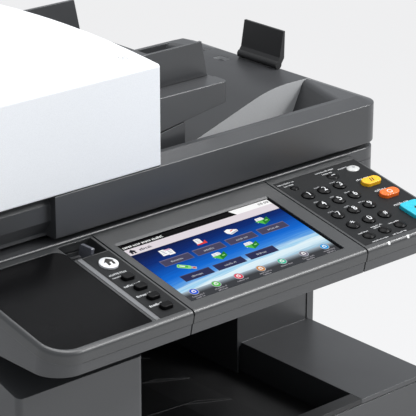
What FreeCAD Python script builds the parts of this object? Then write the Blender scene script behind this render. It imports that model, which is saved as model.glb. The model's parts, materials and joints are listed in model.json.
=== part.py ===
import FreeCAD, Part
import math
import os

# Office photocopier: a print engine with a side column, a scanner carried above an open
# delivery space, a document feeder that lifts as a lid, and a tilting operation panel.
# Millimetres. +X is right as seen by the user, +Y is towards the back, +Z is up.
# The origin is on the ground, below the middle of the machine.

# ---- driving dimensions ------------------------------------------------------------
HALF_WIDTH = 275.5          # engine is 551 wide; scanner and feeder overhang it
BACK_Y = 253.5              # rear face
BODY_FRONT_Y = -188.5       # front face of the print engine
FEET_TOP_Z = 12.0
SHOULDER_Z = 356.3          # top of the engine's right shoulder
SCANNER_BOTTOM_Z = 520.0
SCANNER_SEAM_Z = 579.0
SCANNER_TOP_Z = 593.3
SCANNER_FRONT_Y = -94.1
SCANNER_HALF_WIDTH = 284.0
SCANNER_CORNER = 20.0       # plan radius of scanner and feeder
SKIN = 3.0                  # wall of the moulded covers
GAP = 1.0                   # gap between neighbouring covers

LEFT_COLUMN_X = -127.6      # inner wall of the left column
RIGHT_COLUMN_X = 165.5      # inner wall of the right column
SHOULDER_X = 172.0          # left edge of the right shoulder
COLUMN_FRONT_Y = 2.6
COLUMN_EDGE_X = 271.6       # right edge of the column front, beside the door
DOOR_FRONT_Y = 1.6
DOOR_BACK_Y = 214.0
DOOR_INNER_X = 263.5
DOOR_OUTER_X = 283.5        # the side door stands out as far as the scanner above it
DOOR_NOSE_X = 272.4         # above the shoulder the door starts here, beside the column front

CASSETTE_BOTTOM_Z = 20.0
CASSETTE_TOP_Z = 117.0
COVER_BOTTOM_Z = 121.0
COVER_TOP_Z = 350.0
FRONT_HALF_WIDTH = 261.5    # front cover and cassette

FEEDER_BOTTOM_Z = 597.5
FEEDER_RIM_Z = 647.5
FEEDER_HALF_WIDTH = 286.0
FEEDER_BACK_Y = 232.0
RIM_EDGE_Z = 641.0          # outer edge of the rim, which slopes up to FEEDER_RIM_Z
RIM_INSET = 18.0
POCKET_FRONT_Y = -70.0
POCKET_BACK_Y = 210.0
POCKET_FLOOR_Z = 603.5
POCKET_LEAN = math.radians(25.6)    # lean of the pocket's right wall
POCKET_LIP_RADIUS = 8.0
GRIP_END_X = -156.5         # right end of the finger recess
PAPER_CENTRE_Y = 79.7       # centre line of the document path
RAMP_FRONT_Y = 3.0
RAMP_BACK_Y = 156.4

FEED_COVER_X = -25.0        # right side of the feed cover
FEED_COVER_BOTTOM_Z = 642.5
FEED_COVER_EDGE_Z = 746.0
FEED_COVER_CROWN = 9.0
FEED_COVER_AXIS = (-262.0, 650.0)
FEED_COVER_POSTS_Y = (-74.0, 208.0)
TABLE_FRONT_Y = -58.5
TABLE_BACK_Y = 217.9
TABLE_RIGHT_X = 95.5
TABLE_TOP_Z = 696.3
TABLE_AXIS = (-42.0, 676.0)
TABLE_FOOT_X = 37.0
GUIDE_REACH = 105.0         # from the centre line to a guide: half the width of an A4 sheet
GUIDE_HEIGHT = 38.0

FEEDER_AXIS = (243.0, 603.0)        # y, z of the lid hinge
DOOR_AXIS = (268.5, 127.0)          # x, z of the side door hinge
MP_TRAY_AXIS = (271.0, 157.0)       # x, z of the hand-feed tray hinge
FRONT_COVER_AXIS = (-182.5, 127.5)  # y, z of the front cover hinge
STOPPER_AXIS = (266.0, 653.2)       # x, z of the document stopper hinge
FRAME_POSTS = ((-250.0, -160.0), (180.0, 245.0))   # x ranges of the posts under the scanner
ROLLER_AXIS = (-80.0, 662.0)        # x, z of the pick-up roller
PIN_RADIUS = 3.0
RUNNING_GAP = 0.05

# The panel is drawn flat in its own frame (u right, v up the slope, w out of its face),
# whose origin is the middle of the display, and is then tilted into place.
PANEL_ORIGIN = FreeCAD.Vector(-5.5, -178.5, 575.0)
PANEL_TILT = 11.2
PANEL_LEFT = -270.0
PANEL_RIGHT = 244.2
PANEL_FRONT = -72.3
PANEL_BACK = 84.0
PANEL_TOP = 1.0
PANEL_SEAM = -12.0
PANEL_REAR_SEAM = -9.0      # the skirt is shorter along the hinge side
PANEL_CORNER = 30.0
PANEL_EDGE_RADIUS = 4.5
LEFT_SEAM = -111.2
RIGHT_SEAM = 118.3
SEAM_GAP = 1.8
HOUSING_UNDERSIDE = ((-71.3, -25.0), (30.0, -47.0), (58.0, -40.0))  # v, w
HOUSING_REAR_BOTTOM = -16.5
HINGE_BOSS = (-18.0, -9.4)          # w range of the hinge bosses
PANEL_AXIS = (70.0, -13.6)          # v, w of the tilt hinge
PANEL_PIN_RADIUS = 2.5
LEVER_AXIS = (-131.0, 64.0, -11.0)  # u, v, w of the release lever's hinge
INSERT = (-265.5, -155.0, -65.0, 75.5)      # glossy insert of the left section: u and v ranges
INSERT_TOP = 0.6
INSERT_SEAT = -0.6
PANEL_LUG_U = (-185.0, 160.0)
DISPLAY_HALF = (99.5, 56.25)
DISPLAY_CENTRE_U = -1.0

KEY_GAP = 0.45
KEY_FLOOR = -2.6                    # underside of a key cap
KEY_STEM_BOTTOM = -7.0


# ---- helpers -----------------------------------------------------------------------
def vec(x, y, z):
    return FreeCAD.Vector(x, y, z)


def box(x0, x1, y0, y1, z0, z1):
    return Part.makeBox(x1 - x0, y1 - y0, z1 - z0, vec(x0, y0, z0))


def cylinder_x(x0, x1, y, z, radius):
    return Part.makeCylinder(radius, x1 - x0, vec(x0, y, z), vec(1, 0, 0))


def cylinder_y(y0, y1, x, z, radius):
    return Part.makeCylinder(radius, y1 - y0, vec(x, y0, z), vec(0, 1, 0))


def cylinder_z(z0, z1, x, y, radius):
    return Part.makeCylinder(radius, z1 - z0, vec(x, y, z0), vec(0, 0, 1))


def union(shapes):
    result = shapes[0]
    for shape in shapes[1:]:
        result = result.fuse(shape)
    return result.removeSplitter()


def group(shapes):
    return Part.makeCompound(shapes)


def rounded_outline(x0, x1, y0, y1, z, radii):
    """Closed outline at height z; radii for front-left, front-right, back-right, back-left."""
    corners = ((x0, y0, 1, 1), (x1, y0, -1, 1), (x1, y1, -1, -1), (x0, y1, 1, -1))
    arcs = []
    for (cx, cy, sx, sy), radius in zip(corners, radii):
        centre = vec(cx + sx * radius, cy + sy * radius, z)
        on_x_side = vec(cx + sx * radius, cy, z)
        on_y_side = vec(cx, cy + sy * radius, z)
        middle = centre - vec(sx, sy, 0) * (radius / math.sqrt(2))
        if sx * sy > 0:
            arcs.append((on_y_side, middle, on_x_side, radius))
        else:
            arcs.append((on_x_side, middle, on_y_side, radius))
    edges = []
    for index, (start, middle, end, radius) in enumerate(arcs):
        if radius > 0:
            edges.append(Part.Arc(start, middle, end).toShape())
        following = arcs[(index + 1) % 4][0]
        edges.append(Part.makeLine(end, following))
    return Part.Wire(edges)


def slab(x0, x1, y0, y1, z0, z1, radii):
    """Flat slab with rounded plan corners."""
    face = Part.Face(rounded_outline(x0, x1, y0, y1, z0, radii))
    return face.extrude(vec(0, 0, z1 - z0))


def prism_x(points, x0, x1):
    """Extrude a (y, z) polygon along X."""
    corners = [vec(x0, y, z) for y, z in points]
    face = Part.Face(Part.makePolygon(corners + corners[:1]))
    return face.extrude(vec(x1 - x0, 0, 0))


def prism_y(points, y0, y1):
    """Extrude an (x, z) polygon along Y."""
    corners = [vec(x, y0, z) for x, z in points]
    face = Part.Face(Part.makePolygon(corners + corners[:1]))
    return face.extrude(vec(0, y1 - y0, 0))


def fillet_where(shape, radius, wanted):
    """Round every edge whose centre of mass satisfies the test."""
    edges = [edge for edge in shape.Edges if wanted(edge)]
    return shape.makeFillet(radius, edges)


def on_plane(edge, axis, value):
    """True if the whole edge lies at one coordinate."""
    low, high = getattr(edge.BoundBox, axis + "Min"), getattr(edge.BoundBox, axis + "Max")
    return abs(low - value) < 0.01 and abs(high - value) < 0.01


def tilt(shape):
    """Carry a shape from the flat panel frame into the machine frame."""
    turned = shape.copy()
    turned.rotate(vec(0, 0, 0), vec(1, 0, 0), PANEL_TILT)
    turned.translate(PANEL_ORIGIN)
    return turned


# ---- frame and fixed covers ----------------------------------------------------------
def base_frame():
    """Welded steel frame of the engine, with the hinge pins it carries."""
    plates = [
        box(-262, 262, -165, 236, FEET_TOP_Z, 16),
        box(-262, -260, -165, 236, 16, 340),
        box(260, 262, -165, -10, 16, 340),
        box(255, 257, -10, 236, 16, 118),
        box(-262, 262, 234, 236, 16, 118),
        box(-262, 257, 232, 236, 116, 298),
        box(-262, 257, -160, 234, 117, 120),
    ]
    posts = [box(x0, x1, 200, 228, 122, SCANNER_BOTTOM_Z) for x0, x1 in FRAME_POSTS]
    pins = [
        cylinder_x(-FRONT_HALF_WIDTH - 9, -FRONT_HALF_WIDTH + 10, *FRONT_COVER_AXIS, PIN_RADIUS),
        cylinder_x(FRONT_HALF_WIDTH - 10, FRONT_HALF_WIDTH + 9, *FRONT_COVER_AXIS, PIN_RADIUS),
        cylinder_y(DOOR_FRONT_Y - 12, DOOR_FRONT_Y + 12, *DOOR_AXIS, PIN_RADIUS),
        cylinder_y(DOOR_BACK_Y - 12, DOOR_BACK_Y + 12, *DOOR_AXIS, PIN_RADIUS),
    ]
    for side in (-1, 1):
        centre_x = side * 170
        pins.append(cylinder_x(centre_x - 30, centre_x + 30, *FEEDER_AXIS, PIN_RADIUS))
    return group([union(plates)] + posts + pins)


def frame_post_space():
    """Clearance for the frame's posts where they pass through the column roofs."""
    spaces = [box(x0 - 1, x1 + 1, 199, 229, 130, SCANNER_BOTTOM_Z) for x0, x1 in FRAME_POSTS]
    return group(spaces)


def left_cover():
    """Left side skin and the column that carries the scanner's left end."""
    foot_z = SHOULDER_Z - 6
    outer = prism_x([(BODY_FRONT_Y, foot_z), (BODY_FRONT_Y, 500), (-120, 519), (250, 519), (250, foot_z)],
                    -HALF_WIDTH, LEFT_COLUMN_X)
    outer = fillet_where(outer, 6, lambda e: e.CenterOfMass.y < -150 and e.BoundBox.ZLength > 100)
    inner = prism_x([(BODY_FRONT_Y + SKIN, foot_z - 1), (BODY_FRONT_Y + SKIN, 495), (-120, 516),
                     (251, 516), (251, foot_z - 1)], -HALF_WIDTH + SKIN, LEFT_COLUMN_X - SKIN)
    column = outer.cut(inner)
    skirt = box(-HALF_WIDTH, -HALF_WIDTH + SKIN, BODY_FRONT_Y + 6, 250, FEET_TOP_Z, SHOULDER_Z - 6)
    corner = slab(-HALF_WIDTH, -FRONT_HALF_WIDTH - GAP, BODY_FRONT_Y, BODY_FRONT_Y + 14,
                  FEET_TOP_Z, SHOULDER_Z - 6, (6, 0, 0, 0))
    corner = corner.cut(cylinder_x(-HALF_WIDTH + SKIN, -255, *FRONT_COVER_AXIS, PIN_RADIUS))
    whole = union([column, skirt, corner])
    whole = whole.cut(frame_post_space())
    for level in range(5):
        z = 60 + level * 12
        whole = whole.cut(box(-HALF_WIDTH - 1, -HALF_WIDTH + SKIN + 1, 120, 210, z, z + 4))
    return whole


def right_cover():
    """Right shoulder, its side skin and the right column around the paper path."""
    shoulder = box(SHOULDER_X, HALF_WIDTH, BODY_FRONT_Y, DOOR_FRONT_Y - GAP,
                   SHOULDER_Z - SKIN, SHOULDER_Z)
    shoulder = shoulder.fuse(box(SHOULDER_X, COLUMN_EDGE_X, DOOR_FRONT_Y - GAP,
                                 COLUMN_FRONT_Y + SKIN, SHOULDER_Z - SKIN, SHOULDER_Z))
    side = box(HALF_WIDTH - SKIN, HALF_WIDTH, BODY_FRONT_Y + 6, DOOR_FRONT_Y - GAP,
               FEET_TOP_Z, SHOULDER_Z)
    corner = slab(FRONT_HALF_WIDTH + GAP, HALF_WIDTH, BODY_FRONT_Y, BODY_FRONT_Y + 14,
                  FEET_TOP_Z, SHOULDER_Z, (0, 6, 0, 0))
    corner = corner.cut(cylinder_x(255, HALF_WIDTH - SKIN, *FRONT_COVER_AXIS, PIN_RADIUS))
    front_strip = box(SHOULDER_X, FRONT_HALF_WIDTH + GAP, BODY_FRONT_Y, BODY_FRONT_Y + SKIN,
                      COVER_TOP_Z + GAP, SHOULDER_Z)
    below_door = box(HALF_WIDTH - SKIN, HALF_WIDTH, DOOR_FRONT_Y - GAP, 250, FEET_TOP_Z, 117)
    behind_door = box(HALF_WIDTH - SKIN, HALF_WIDTH, DOOR_BACK_Y + GAP, 250, 117, 519)
    step = box(SHOULDER_X, SHOULDER_X + SKIN, BODY_FRONT_Y + 14, COLUMN_FRONT_Y + SKIN, 300,
               SHOULDER_Z - SKIN)
    column_front = box(RIGHT_COLUMN_X, COLUMN_EDGE_X, COLUMN_FRONT_Y, COLUMN_FRONT_Y + SKIN,
                       SHOULDER_Z - SKIN, 519)
    column_wall = box(RIGHT_COLUMN_X, RIGHT_COLUMN_X + SKIN, COLUMN_FRONT_Y, 246, 300, 519)
    column_top = box(RIGHT_COLUMN_X, DOOR_INNER_X - GAP, COLUMN_FRONT_Y, 246, 516, 519)
    post = box(250, DOOR_INNER_X - GAP, COLUMN_FRONT_Y, COLUMN_FRONT_Y + 8, 130, 519)
    pin_block = box(262.5, HALF_WIDTH - SKIN, DOOR_FRONT_Y - 13, DOOR_FRONT_Y - GAP, 112, 136)
    rear_block = box(262.5, HALF_WIDTH - SKIN, DOOR_BACK_Y + GAP, DOOR_BACK_Y + 13, 112, 136)
    lower_rail = box(257.5, HALF_WIDTH - SKIN, -9, 228, 100, 112)
    front_rail = box(262.5, HALF_WIDTH - SKIN, DOOR_FRONT_Y - 13, -9, 100, 112)
    whole = union([shoulder, side, corner, front_strip, below_door, behind_door, step,
                   column_front, column_wall, column_top, post, pin_block, rear_block, lower_rail,
                   front_rail])
    whole = whole.cut(cylinder_y(DOOR_FRONT_Y - 14, DOOR_BACK_Y + 14, *DOOR_AXIS, PIN_RADIUS))
    exit_slot = box(RIGHT_COLUMN_X - 1, RIGHT_COLUMN_X + SKIN + 1, 20, 238, 455, 478)
    whole = whole.cut(exit_slot)
    whole = whole.cut(frame_post_space())
    for level in range(5):
        z = 50 + level * 12
        whole = whole.cut(box(HALF_WIDTH - SKIN - 1, HALF_WIDTH + 1, 20, 95, z, z + 4))
    return whole


def rear_cover():
    """Flat rear skin with two banks of cooling slots and recesses for the mains inlet and the ports."""
    plate = slab(-HALF_WIDTH, HALF_WIDTH, 250.2, BACK_Y, FEET_TOP_Z, SCANNER_BOTTOM_Z - GAP,
                 (0, 0, 2, 2))
    for column in (-190, 30):
        for level in range(8):
            z = 330 + level * 14
            plate = plate.cut(slab(column, column + 150, 240, 260, z, z + 5, (0, 0, 0, 0)))
    whole = plate
    for x0, x1, z0, z1 in ((-230, -170, 60, 100), (150, 235, 180, 250)):
        lining = box(x0 - 4, x1 + 4, 238.5, 250.2, z0 - 4, z1 + 4)
        whole = whole.fuse(lining).cut(box(x0, x1, 240, 260, z0, z1))
    return whole.removeSplitter()


def inner_tray():
    """Sloping delivery tray between the two columns, with the walls in front and behind."""
    x0 = LEFT_COLUMN_X + 0.5
    x1 = RIGHT_COLUMN_X - 0.5
    x2 = SHOULDER_X - 0.5
    front_y = BODY_FRONT_Y + 14
    slope = [(x0, 346), (40, 338), (110, 322), (x1, 318)]
    surface = [(x, z + SKIN) for x, z in reversed(slope)]
    floor = prism_y(slope + surface, front_y, 246)
    back = box(x0, x1, 243, 246, 318, 519)
    front = prism_y(slope + [(x2, 318), (x2, SHOULDER_Z - SKIN), (x0, SHOULDER_Z - SKIN)],
                    front_y, front_y + SKIN)
    ledge = box(x0, x2, BODY_FRONT_Y, front_y + SKIN, SHOULDER_Z - SKIN, SHOULDER_Z)
    brow = box(x0, x2, BODY_FRONT_Y, BODY_FRONT_Y + SKIN, COVER_TOP_Z + GAP, SHOULDER_Z - SKIN)
    side = box(x1, x2, front_y, COLUMN_FRONT_Y - GAP, 318, 321)
    ribs = []
    for index in range(5):
        y = -120 + index * 70
        ribs.append(prism_y([(-110, 347), (-110, 351), (60, 340), (110, 326), (110, 324)], y, y + 4))
    return union([floor, back, front, ledge, brow, side] + ribs)


def rubber_feet():
    feet = []
    for x in (-225, 225):
        for y in (-140, 205):
            pad = cylinder_z(0, FEET_TOP_Z, x, y, 19)
            feet.append(fillet_where(pad, 2.5, lambda e: on_plane(e, "Z", 0)))
    return group(feet)


# ---- print engine --------------------------------------------------------------------
def toner_containers():
    """Four toner bottles side by side, each with a flat front handle."""
    bottles = []
    for index in range(4):
        x = -190 + index * 74
        body = cylinder_y(-160, 195, x, 275, 27)
        body = fillet_where(body, 5, lambda e: on_plane(e, "Y", 195))
        handle = slab(x - 12, x + 12, -172, -155, 268, 282, (4, 4, 0, 0))
        bottles.append(union([body, handle]))
    return group(bottles)


def image_units():
    """Four drum units above a transfer belt."""
    units = []
    for index in range(4):
        x = -190 + index * 74
        case = prism_y([(x - 28, 196), (x - 28, 240), (x + 28, 240), (x + 28, 214), (x + 12, 196)],
                       -158, 200)
        drum = cylinder_y(-150, 195, x, 196, 15)
        units.append(union([case, drum]))
    front = cylinder_y(-140, 190, -212, 162, 13)
    rear = cylinder_y(-140, 190, 66, 162, 13)
    belt = union([front, rear, box(-212, 66, -140, 190, 149, 175)])
    return group(units + [belt])


def fuser_unit():
    """Heat roller and pressure roller in a cradle inside the right column."""
    heat = cylinder_y(24, 228, 206, 425, 14)
    press = cylinder_y(24, 228, 235, 425, 14.5)
    cradle = box(188, 250, 14, 20, 400, 450)
    cradle = union([cradle, box(188, 250, 232, 238, 400, 450), box(188, 250, 20, 232, 400, 404)])
    cradle = cradle.cut(box(175, 246, 199, 240, 340, 520))
    shafts = union([heat, cylinder_y(20, 24, 206, 425, 5)])
    return group([cradle.Solids[0], shafts.cut(box(170, 250, 199, 240, 340, 520)),
                  press.cut(box(170, 250, 199, 240, 340, 520))])


def cassette():
    """Paper drawer: front panel with a grip, and an open tray behind it."""
    front = slab(-FRONT_HALF_WIDTH, FRONT_HALF_WIDTH, BODY_FRONT_Y, BODY_FRONT_Y + 12,
                 CASSETTE_BOTTOM_Z, CASSETTE_TOP_Z, (2, 2, 0, 0))
    grip = prism_x([(BODY_FRONT_Y - 1, 50), (BODY_FRONT_Y - 1, 86), (BODY_FRONT_Y + 9, 94),
                    (BODY_FRONT_Y + 9, 60)], -70, 70)
    front = front.cut(grip)
    tray = box(-235, 235, BODY_FRONT_Y + 12, 150, 24, 100)
    tray = tray.cut(box(-232, 232, BODY_FRONT_Y + 15, 147, 27, 101))
    tray = tray.cut(box(-200, 200, BODY_FRONT_Y + 10, 151, 75, 101))
    return union([front, tray])


def lift_plate():
    """Plate that raises the paper stack towards the feed end of the cassette."""
    plate = box(-120, 200, -120, 100, 31, 33)
    lug = box(-128, -120, -100, 80, 29, 35)
    plate = union([plate, lug])
    for y in (-50, 10):
        plate = plate.cut(box(-90, 120, y, y + 12, 30, 36))
    return plate


def front_cover():
    """Large front door, hinged along its lower edge."""
    outer = slab(-FRONT_HALF_WIDTH, FRONT_HALF_WIDTH, BODY_FRONT_Y, BODY_FRONT_Y + 12,
                 COVER_BOTTOM_Z, COVER_TOP_Z, (2, 2, 0, 0))
    hollow = box(-FRONT_HALF_WIDTH + 12, FRONT_HALF_WIDTH - 12, BODY_FRONT_Y + SKIN,
                 BODY_FRONT_Y + 13, COVER_BOTTOM_Z + 14, COVER_TOP_Z - SKIN)
    cover = outer.cut(hollow)
    bore = cylinder_x(-300, 300, *FRONT_COVER_AXIS, PIN_RADIUS + RUNNING_GAP)
    cover = cover.cut(bore)
    heel = box(-300, 300, BODY_FRONT_Y + 9, BODY_FRONT_Y + 13, COVER_BOTTOM_Z - 1, COVER_BOTTOM_Z + 3)
    grip = prism_x([(BODY_FRONT_Y - 1, 332), (BODY_FRONT_Y - 1, 351), (BODY_FRONT_Y + 8, 351),
                    (BODY_FRONT_Y + 2, 336)], -60, 60)
    backing = box(-64, 64, BODY_FRONT_Y + 2, BODY_FRONT_Y + 12, 328, COVER_TOP_Z)
    return cover.fuse(backing).cut(grip).cut(heel).removeSplitter()


def right_door():
    """Side door over the paper path, hinged at its foot, with a well for the hand-feed tray."""
    outer = box(DOOR_INNER_X, DOOR_OUTER_X, DOOR_FRONT_Y, DOOR_BACK_Y, 120, 518)
    outer = fillet_where(outer, 2, lambda e: on_plane(e, "X", DOOR_OUTER_X))
    # The lower outer edge is cut back so that it clears the skin below when the door swings down.
    heel = [(274.5, 119), (285, 119), (285, 134.5), (284.5, 134.5), (279.5, 130.5), (277.6, 126.5)]
    outer = outer.cut(prism_y(heel, -20, 240))
    hollow = box(DOOR_INNER_X - 1, DOOR_OUTER_X - SKIN, DOOR_FRONT_Y + 12, DOOR_BACK_Y - 12, 320, 515)
    well = box(266.5, DOOR_OUTER_X + 1, 18, 194, 149, 312)
    door = outer.cut(hollow).cut(well)
    above = SHOULDER_Z - SKIN - GAP
    door = door.cut(box(DOOR_INNER_X - 1, DOOR_NOSE_X, DOOR_FRONT_Y - 1, COLUMN_FRONT_Y + 4, above, 520))
    bore = cylinder_y(DOOR_FRONT_Y - 1, DOOR_BACK_Y + 1, *DOOR_AXIS, PIN_RADIUS + RUNNING_GAP)
    door = door.cut(bore)
    pins = [cylinder_y(16, 28, *MP_TRAY_AXIS, 2.5), cylinder_y(184, 196, *MP_TRAY_AXIS, 2.5)]
    door = union([door] + pins)
    return door.cut(box(DOOR_INNER_X - 1, DOOR_INNER_X + 4, -20, 230, 119, 122.5))


def mp_tray():
    """Hand-feed tray, folded flat into the side door."""
    face_x = DOOR_OUTER_X - 0.5
    leaf = box(267.5, face_x, 19, 193, 160, 311)
    leaf = leaf.cut(box(266, face_x - 4, 26, 186, 168, 306))
    leaf = leaf.cut(box(face_x - 1, face_x + 2, 84, 124, 290, 312))
    leaf = leaf.cut(prism_y([(276, 159), (285, 159), (285, 172)], 18, 194))
    barrel = cylinder_y(19, 193, *MP_TRAY_AXIS, 4)
    leaf = union([leaf, barrel, box(268, 274, 19, 193, 157, 162)])
    return leaf.cut(cylinder_y(15, 197, *MP_TRAY_AXIS, 2.5 + RUNNING_GAP))


# ---- scanner -------------------------------------------------------------------------
def scanner_base():
    """Lower tub of the scanner, with the lugs that carry the operation panel."""
    tub = slab(-SCANNER_HALF_WIDTH, SCANNER_HALF_WIDTH, SCANNER_FRONT_Y, BACK_Y,
               SCANNER_BOTTOM_Z, SCANNER_SEAM_Z, (SCANNER_CORNER,) * 4)
    tub = fillet_where(tub, 3, lambda e: on_plane(e, "Z", SCANNER_BOTTOM_Z))
    inner_x = SCANNER_HALF_WIDTH - 6
    tub = tub.cut(slab(-inner_x, inner_x, SCANNER_FRONT_Y + 6, BACK_Y - 6, SCANNER_BOTTOM_Z + SKIN,
                       SCANNER_SEAM_Z + 1, (SCANNER_CORNER - 6,) * 4))
    rails = [cylinder_x(-inner_x, inner_x, y, 545, 4) for y in (-70, 190)]
    lugs = []
    for u in PANEL_LUG_U:
        axis_v, axis_w = PANEL_AXIS
        lug = box(u - 8, u + 8, axis_v, axis_v + 20, axis_w - 4, axis_w + 4)
        lug = lug.fuse(cylinder_x(u - 8, u + 8, axis_v, axis_w, 4))
        pin = cylinder_x(u - 16, u + 16, *PANEL_AXIS, PANEL_PIN_RADIUS)
        lug = tilt(lug.fuse(pin))
        lug = lug.cut(box(-300, 300, SCANNER_FRONT_Y, 0, SCANNER_SEAM_Z, 620))
        lugs.append(lug.cut(box(-300, 300, SCANNER_FRONT_Y + 2, 0, 500, 620)))
    return union([tub] + rails + lugs)


def scanner_top():
    """Upper frame around the platen glass, with the rear hinge lugs for the feeder."""
    top = slab(-SCANNER_HALF_WIDTH, SCANNER_HALF_WIDTH, SCANNER_FRONT_Y, BACK_Y,
               SCANNER_SEAM_Z + 0.6, SCANNER_TOP_Z, (SCANNER_CORNER,) * 4)
    top = fillet_where(top, 2, lambda e: on_plane(e, "Z", SCANNER_TOP_Z))
    inner_x = SCANNER_HALF_WIDTH - 6
    top = top.cut(slab(-inner_x, inner_x, SCANNER_FRONT_Y + 6, 228, SCANNER_SEAM_Z - 1,
                       SCANNER_TOP_Z - SKIN, (SCANNER_CORNER - 6, SCANNER_CORNER - 6, 0, 0)))
    for x0, x1 in ((-190, 170), (-238, -214)):
        top = top.cut(box(x0, x1, -50, 180, SCANNER_SEAM_Z, SCANNER_TOP_Z + 1))
    lugs = []
    for centre_x in (-170, 170):
        lug = box(centre_x - 9, centre_x + 9, 234, 252, SCANNER_TOP_Z - 2, FEEDER_AXIS[1])
        lug = lug.fuse(cylinder_x(centre_x - 9, centre_x + 9, *FEEDER_AXIS, 9))
        lugs.append(lug.cut(cylinder_x(centre_x - 31, centre_x + 31, *FEEDER_AXIS, PIN_RADIUS)))
    return union([top] + lugs)


def platen_glass():
    """Flat-bed glass and the narrow strip the feeder scans through."""
    bed = box(-189.7, 169.7, -49.7, 179.7, SCANNER_TOP_Z - 4, SCANNER_TOP_Z - 0.3)
    strip = box(-237.7, -214.3, -49.7, 179.7, SCANNER_TOP_Z - 4, SCANNER_TOP_Z - 0.3)
    return group([bed, strip])


def scan_carriage():
    """Moving lamp and mirror carriage on its two rails."""
    body = box(-255, -215, -84, 204, 549, 578)
    body = body.cut(box(-240, -230, -60, 180, 560, 579))
    return body.cut(box(-252, -218, -75, 195, 540, 556))


# ---- document feeder -----------------------------------------------------------------
def grip_recess():
    """Finger recess along the left of the feeder's front: leans back at top and bottom."""
    return prism_x([(-96, 644), (-76, 644), (-78, 641.5), (-85.5, 631.5), (-85.5, 614.6),
                    (-78, 601), (-78, 596), (-96, 596)], -FEEDER_HALF_WIDTH - 1, GRIP_END_X)


def pocket_profile(y, corner_x):
    """Section of the delivery pocket at one y: flat floor, leaning right wall, rounded lip."""
    left_x = TABLE_FOOT_X
    over = FEEDER_RIM_Z + 5
    lean = vec(math.sin(POCKET_LEAN), 0, math.cos(POCKET_LEAN))
    corner = vec(corner_x, y, FEEDER_RIM_Z)
    reach = POCKET_LIP_RADIUS * math.tan((math.pi / 2 - POCKET_LEAN) / 2)
    wall_foot = corner - lean * ((FEEDER_RIM_Z - POCKET_FLOOR_Z) / lean.z)
    wall_top = corner - lean * reach
    lip_end = corner + vec(reach, 0, 0)
    lip_centre = lip_end - vec(0, 0, POCKET_LIP_RADIUS)
    outward = (corner - lip_centre).normalize()
    lip_middle = lip_centre + outward * POCKET_LIP_RADIUS
    edges = [
        Part.makeLine(vec(left_x, y, POCKET_FLOOR_Z), wall_foot),
        Part.makeLine(wall_foot, wall_top),
        Part.Arc(wall_top, lip_middle, lip_end).toShape(),
        Part.makeLine(lip_end, vec(lip_end.x, y, over)),
        Part.makeLine(vec(lip_end.x, y, over), vec(left_x, y, over)),
        Part.makeLine(vec(left_x, y, over), vec(left_x, y, POCKET_FLOOR_Z)),
    ]
    return Part.Wire(edges)


def delivery_pocket(outer_y, inner_y):
    """Space beside the ramp; its right wall swings out towards the ramp."""
    outer = pocket_profile(outer_y, 241.0)
    inner = pocket_profile(inner_y, 262.5)
    return Part.makeLoft([outer, inner], True, True)


def feeder_outline(z, inset):
    """Plan outline of the feeder, drawn in by the inset."""
    half = FEEDER_HALF_WIDTH - inset
    return rounded_outline(-half, half, SCANNER_FRONT_Y + inset, FEEDER_BACK_Y - inset, z,
                           (SCANNER_CORNER - inset,) * 4)


def feeder_base():
    """Body of the document feeder: rim, delivery pockets and the housing under the feed cover."""
    wall_outlines = [feeder_outline(FEEDER_BOTTOM_Z, 0), feeder_outline(RIM_EDGE_Z, 0)]
    walls = Part.makeLoft(wall_outlines, True, True)
    rim_outlines = [feeder_outline(RIM_EDGE_Z, 0), feeder_outline(FEEDER_RIM_Z, RIM_INSET)]
    rim = Part.makeLoft(rim_outlines, True, True)
    body = union([walls, rim])
    body = fillet_where(body, 1.2, lambda e: on_plane(e, "Z", RIM_EDGE_Z))
    body = fillet_where(body, 2, lambda e: on_plane(e, "Z", FEEDER_BOTTOM_Z))
    body = body.cut(box(-300, FEED_COVER_X + GAP, -100, 300, FEED_COVER_BOTTOM_Z - GAP, 700))
    body = body.cut(grip_recess())
    body = body.cut(delivery_pocket(POCKET_FRONT_Y, RAMP_FRONT_Y))
    body = body.cut(delivery_pocket(POCKET_BACK_Y, RAMP_BACK_Y))
    body = body.cut(box(TABLE_FOOT_X, HALF_WIDTH, RAMP_FRONT_Y, RAMP_BACK_Y, POCKET_FLOOR_Z, 700))
    body = body.cut(box(-262, 20, -70, 215, FEEDER_BOTTOM_Z + 4, 632))
    body = body.cut(box(ROLLER_AXIS[0] - 18, ROLLER_AXIS[0] + 18, 40, 120, 630, 650))
    body = body.cut(box(FEED_COVER_X, TABLE_FOOT_X + 1, POCKET_FRONT_Y, TABLE_FRONT_Y, 636.5, 700))
    foot_x = FEED_COVER_X + GAP
    foot = prism_y([(foot_x, 630), (foot_x, 654.5), (TABLE_FOOT_X, 664.4), (TABLE_FOOT_X, 630)],
                   TABLE_FRONT_Y, TABLE_BACK_Y)
    body = union([body, foot])
    body = body.cut(box(0, TABLE_FOOT_X + 1, RAMP_FRONT_Y, RAMP_BACK_Y, POCKET_FLOOR_Z, 640))
    return union([body] + feeder_lugs())


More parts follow.
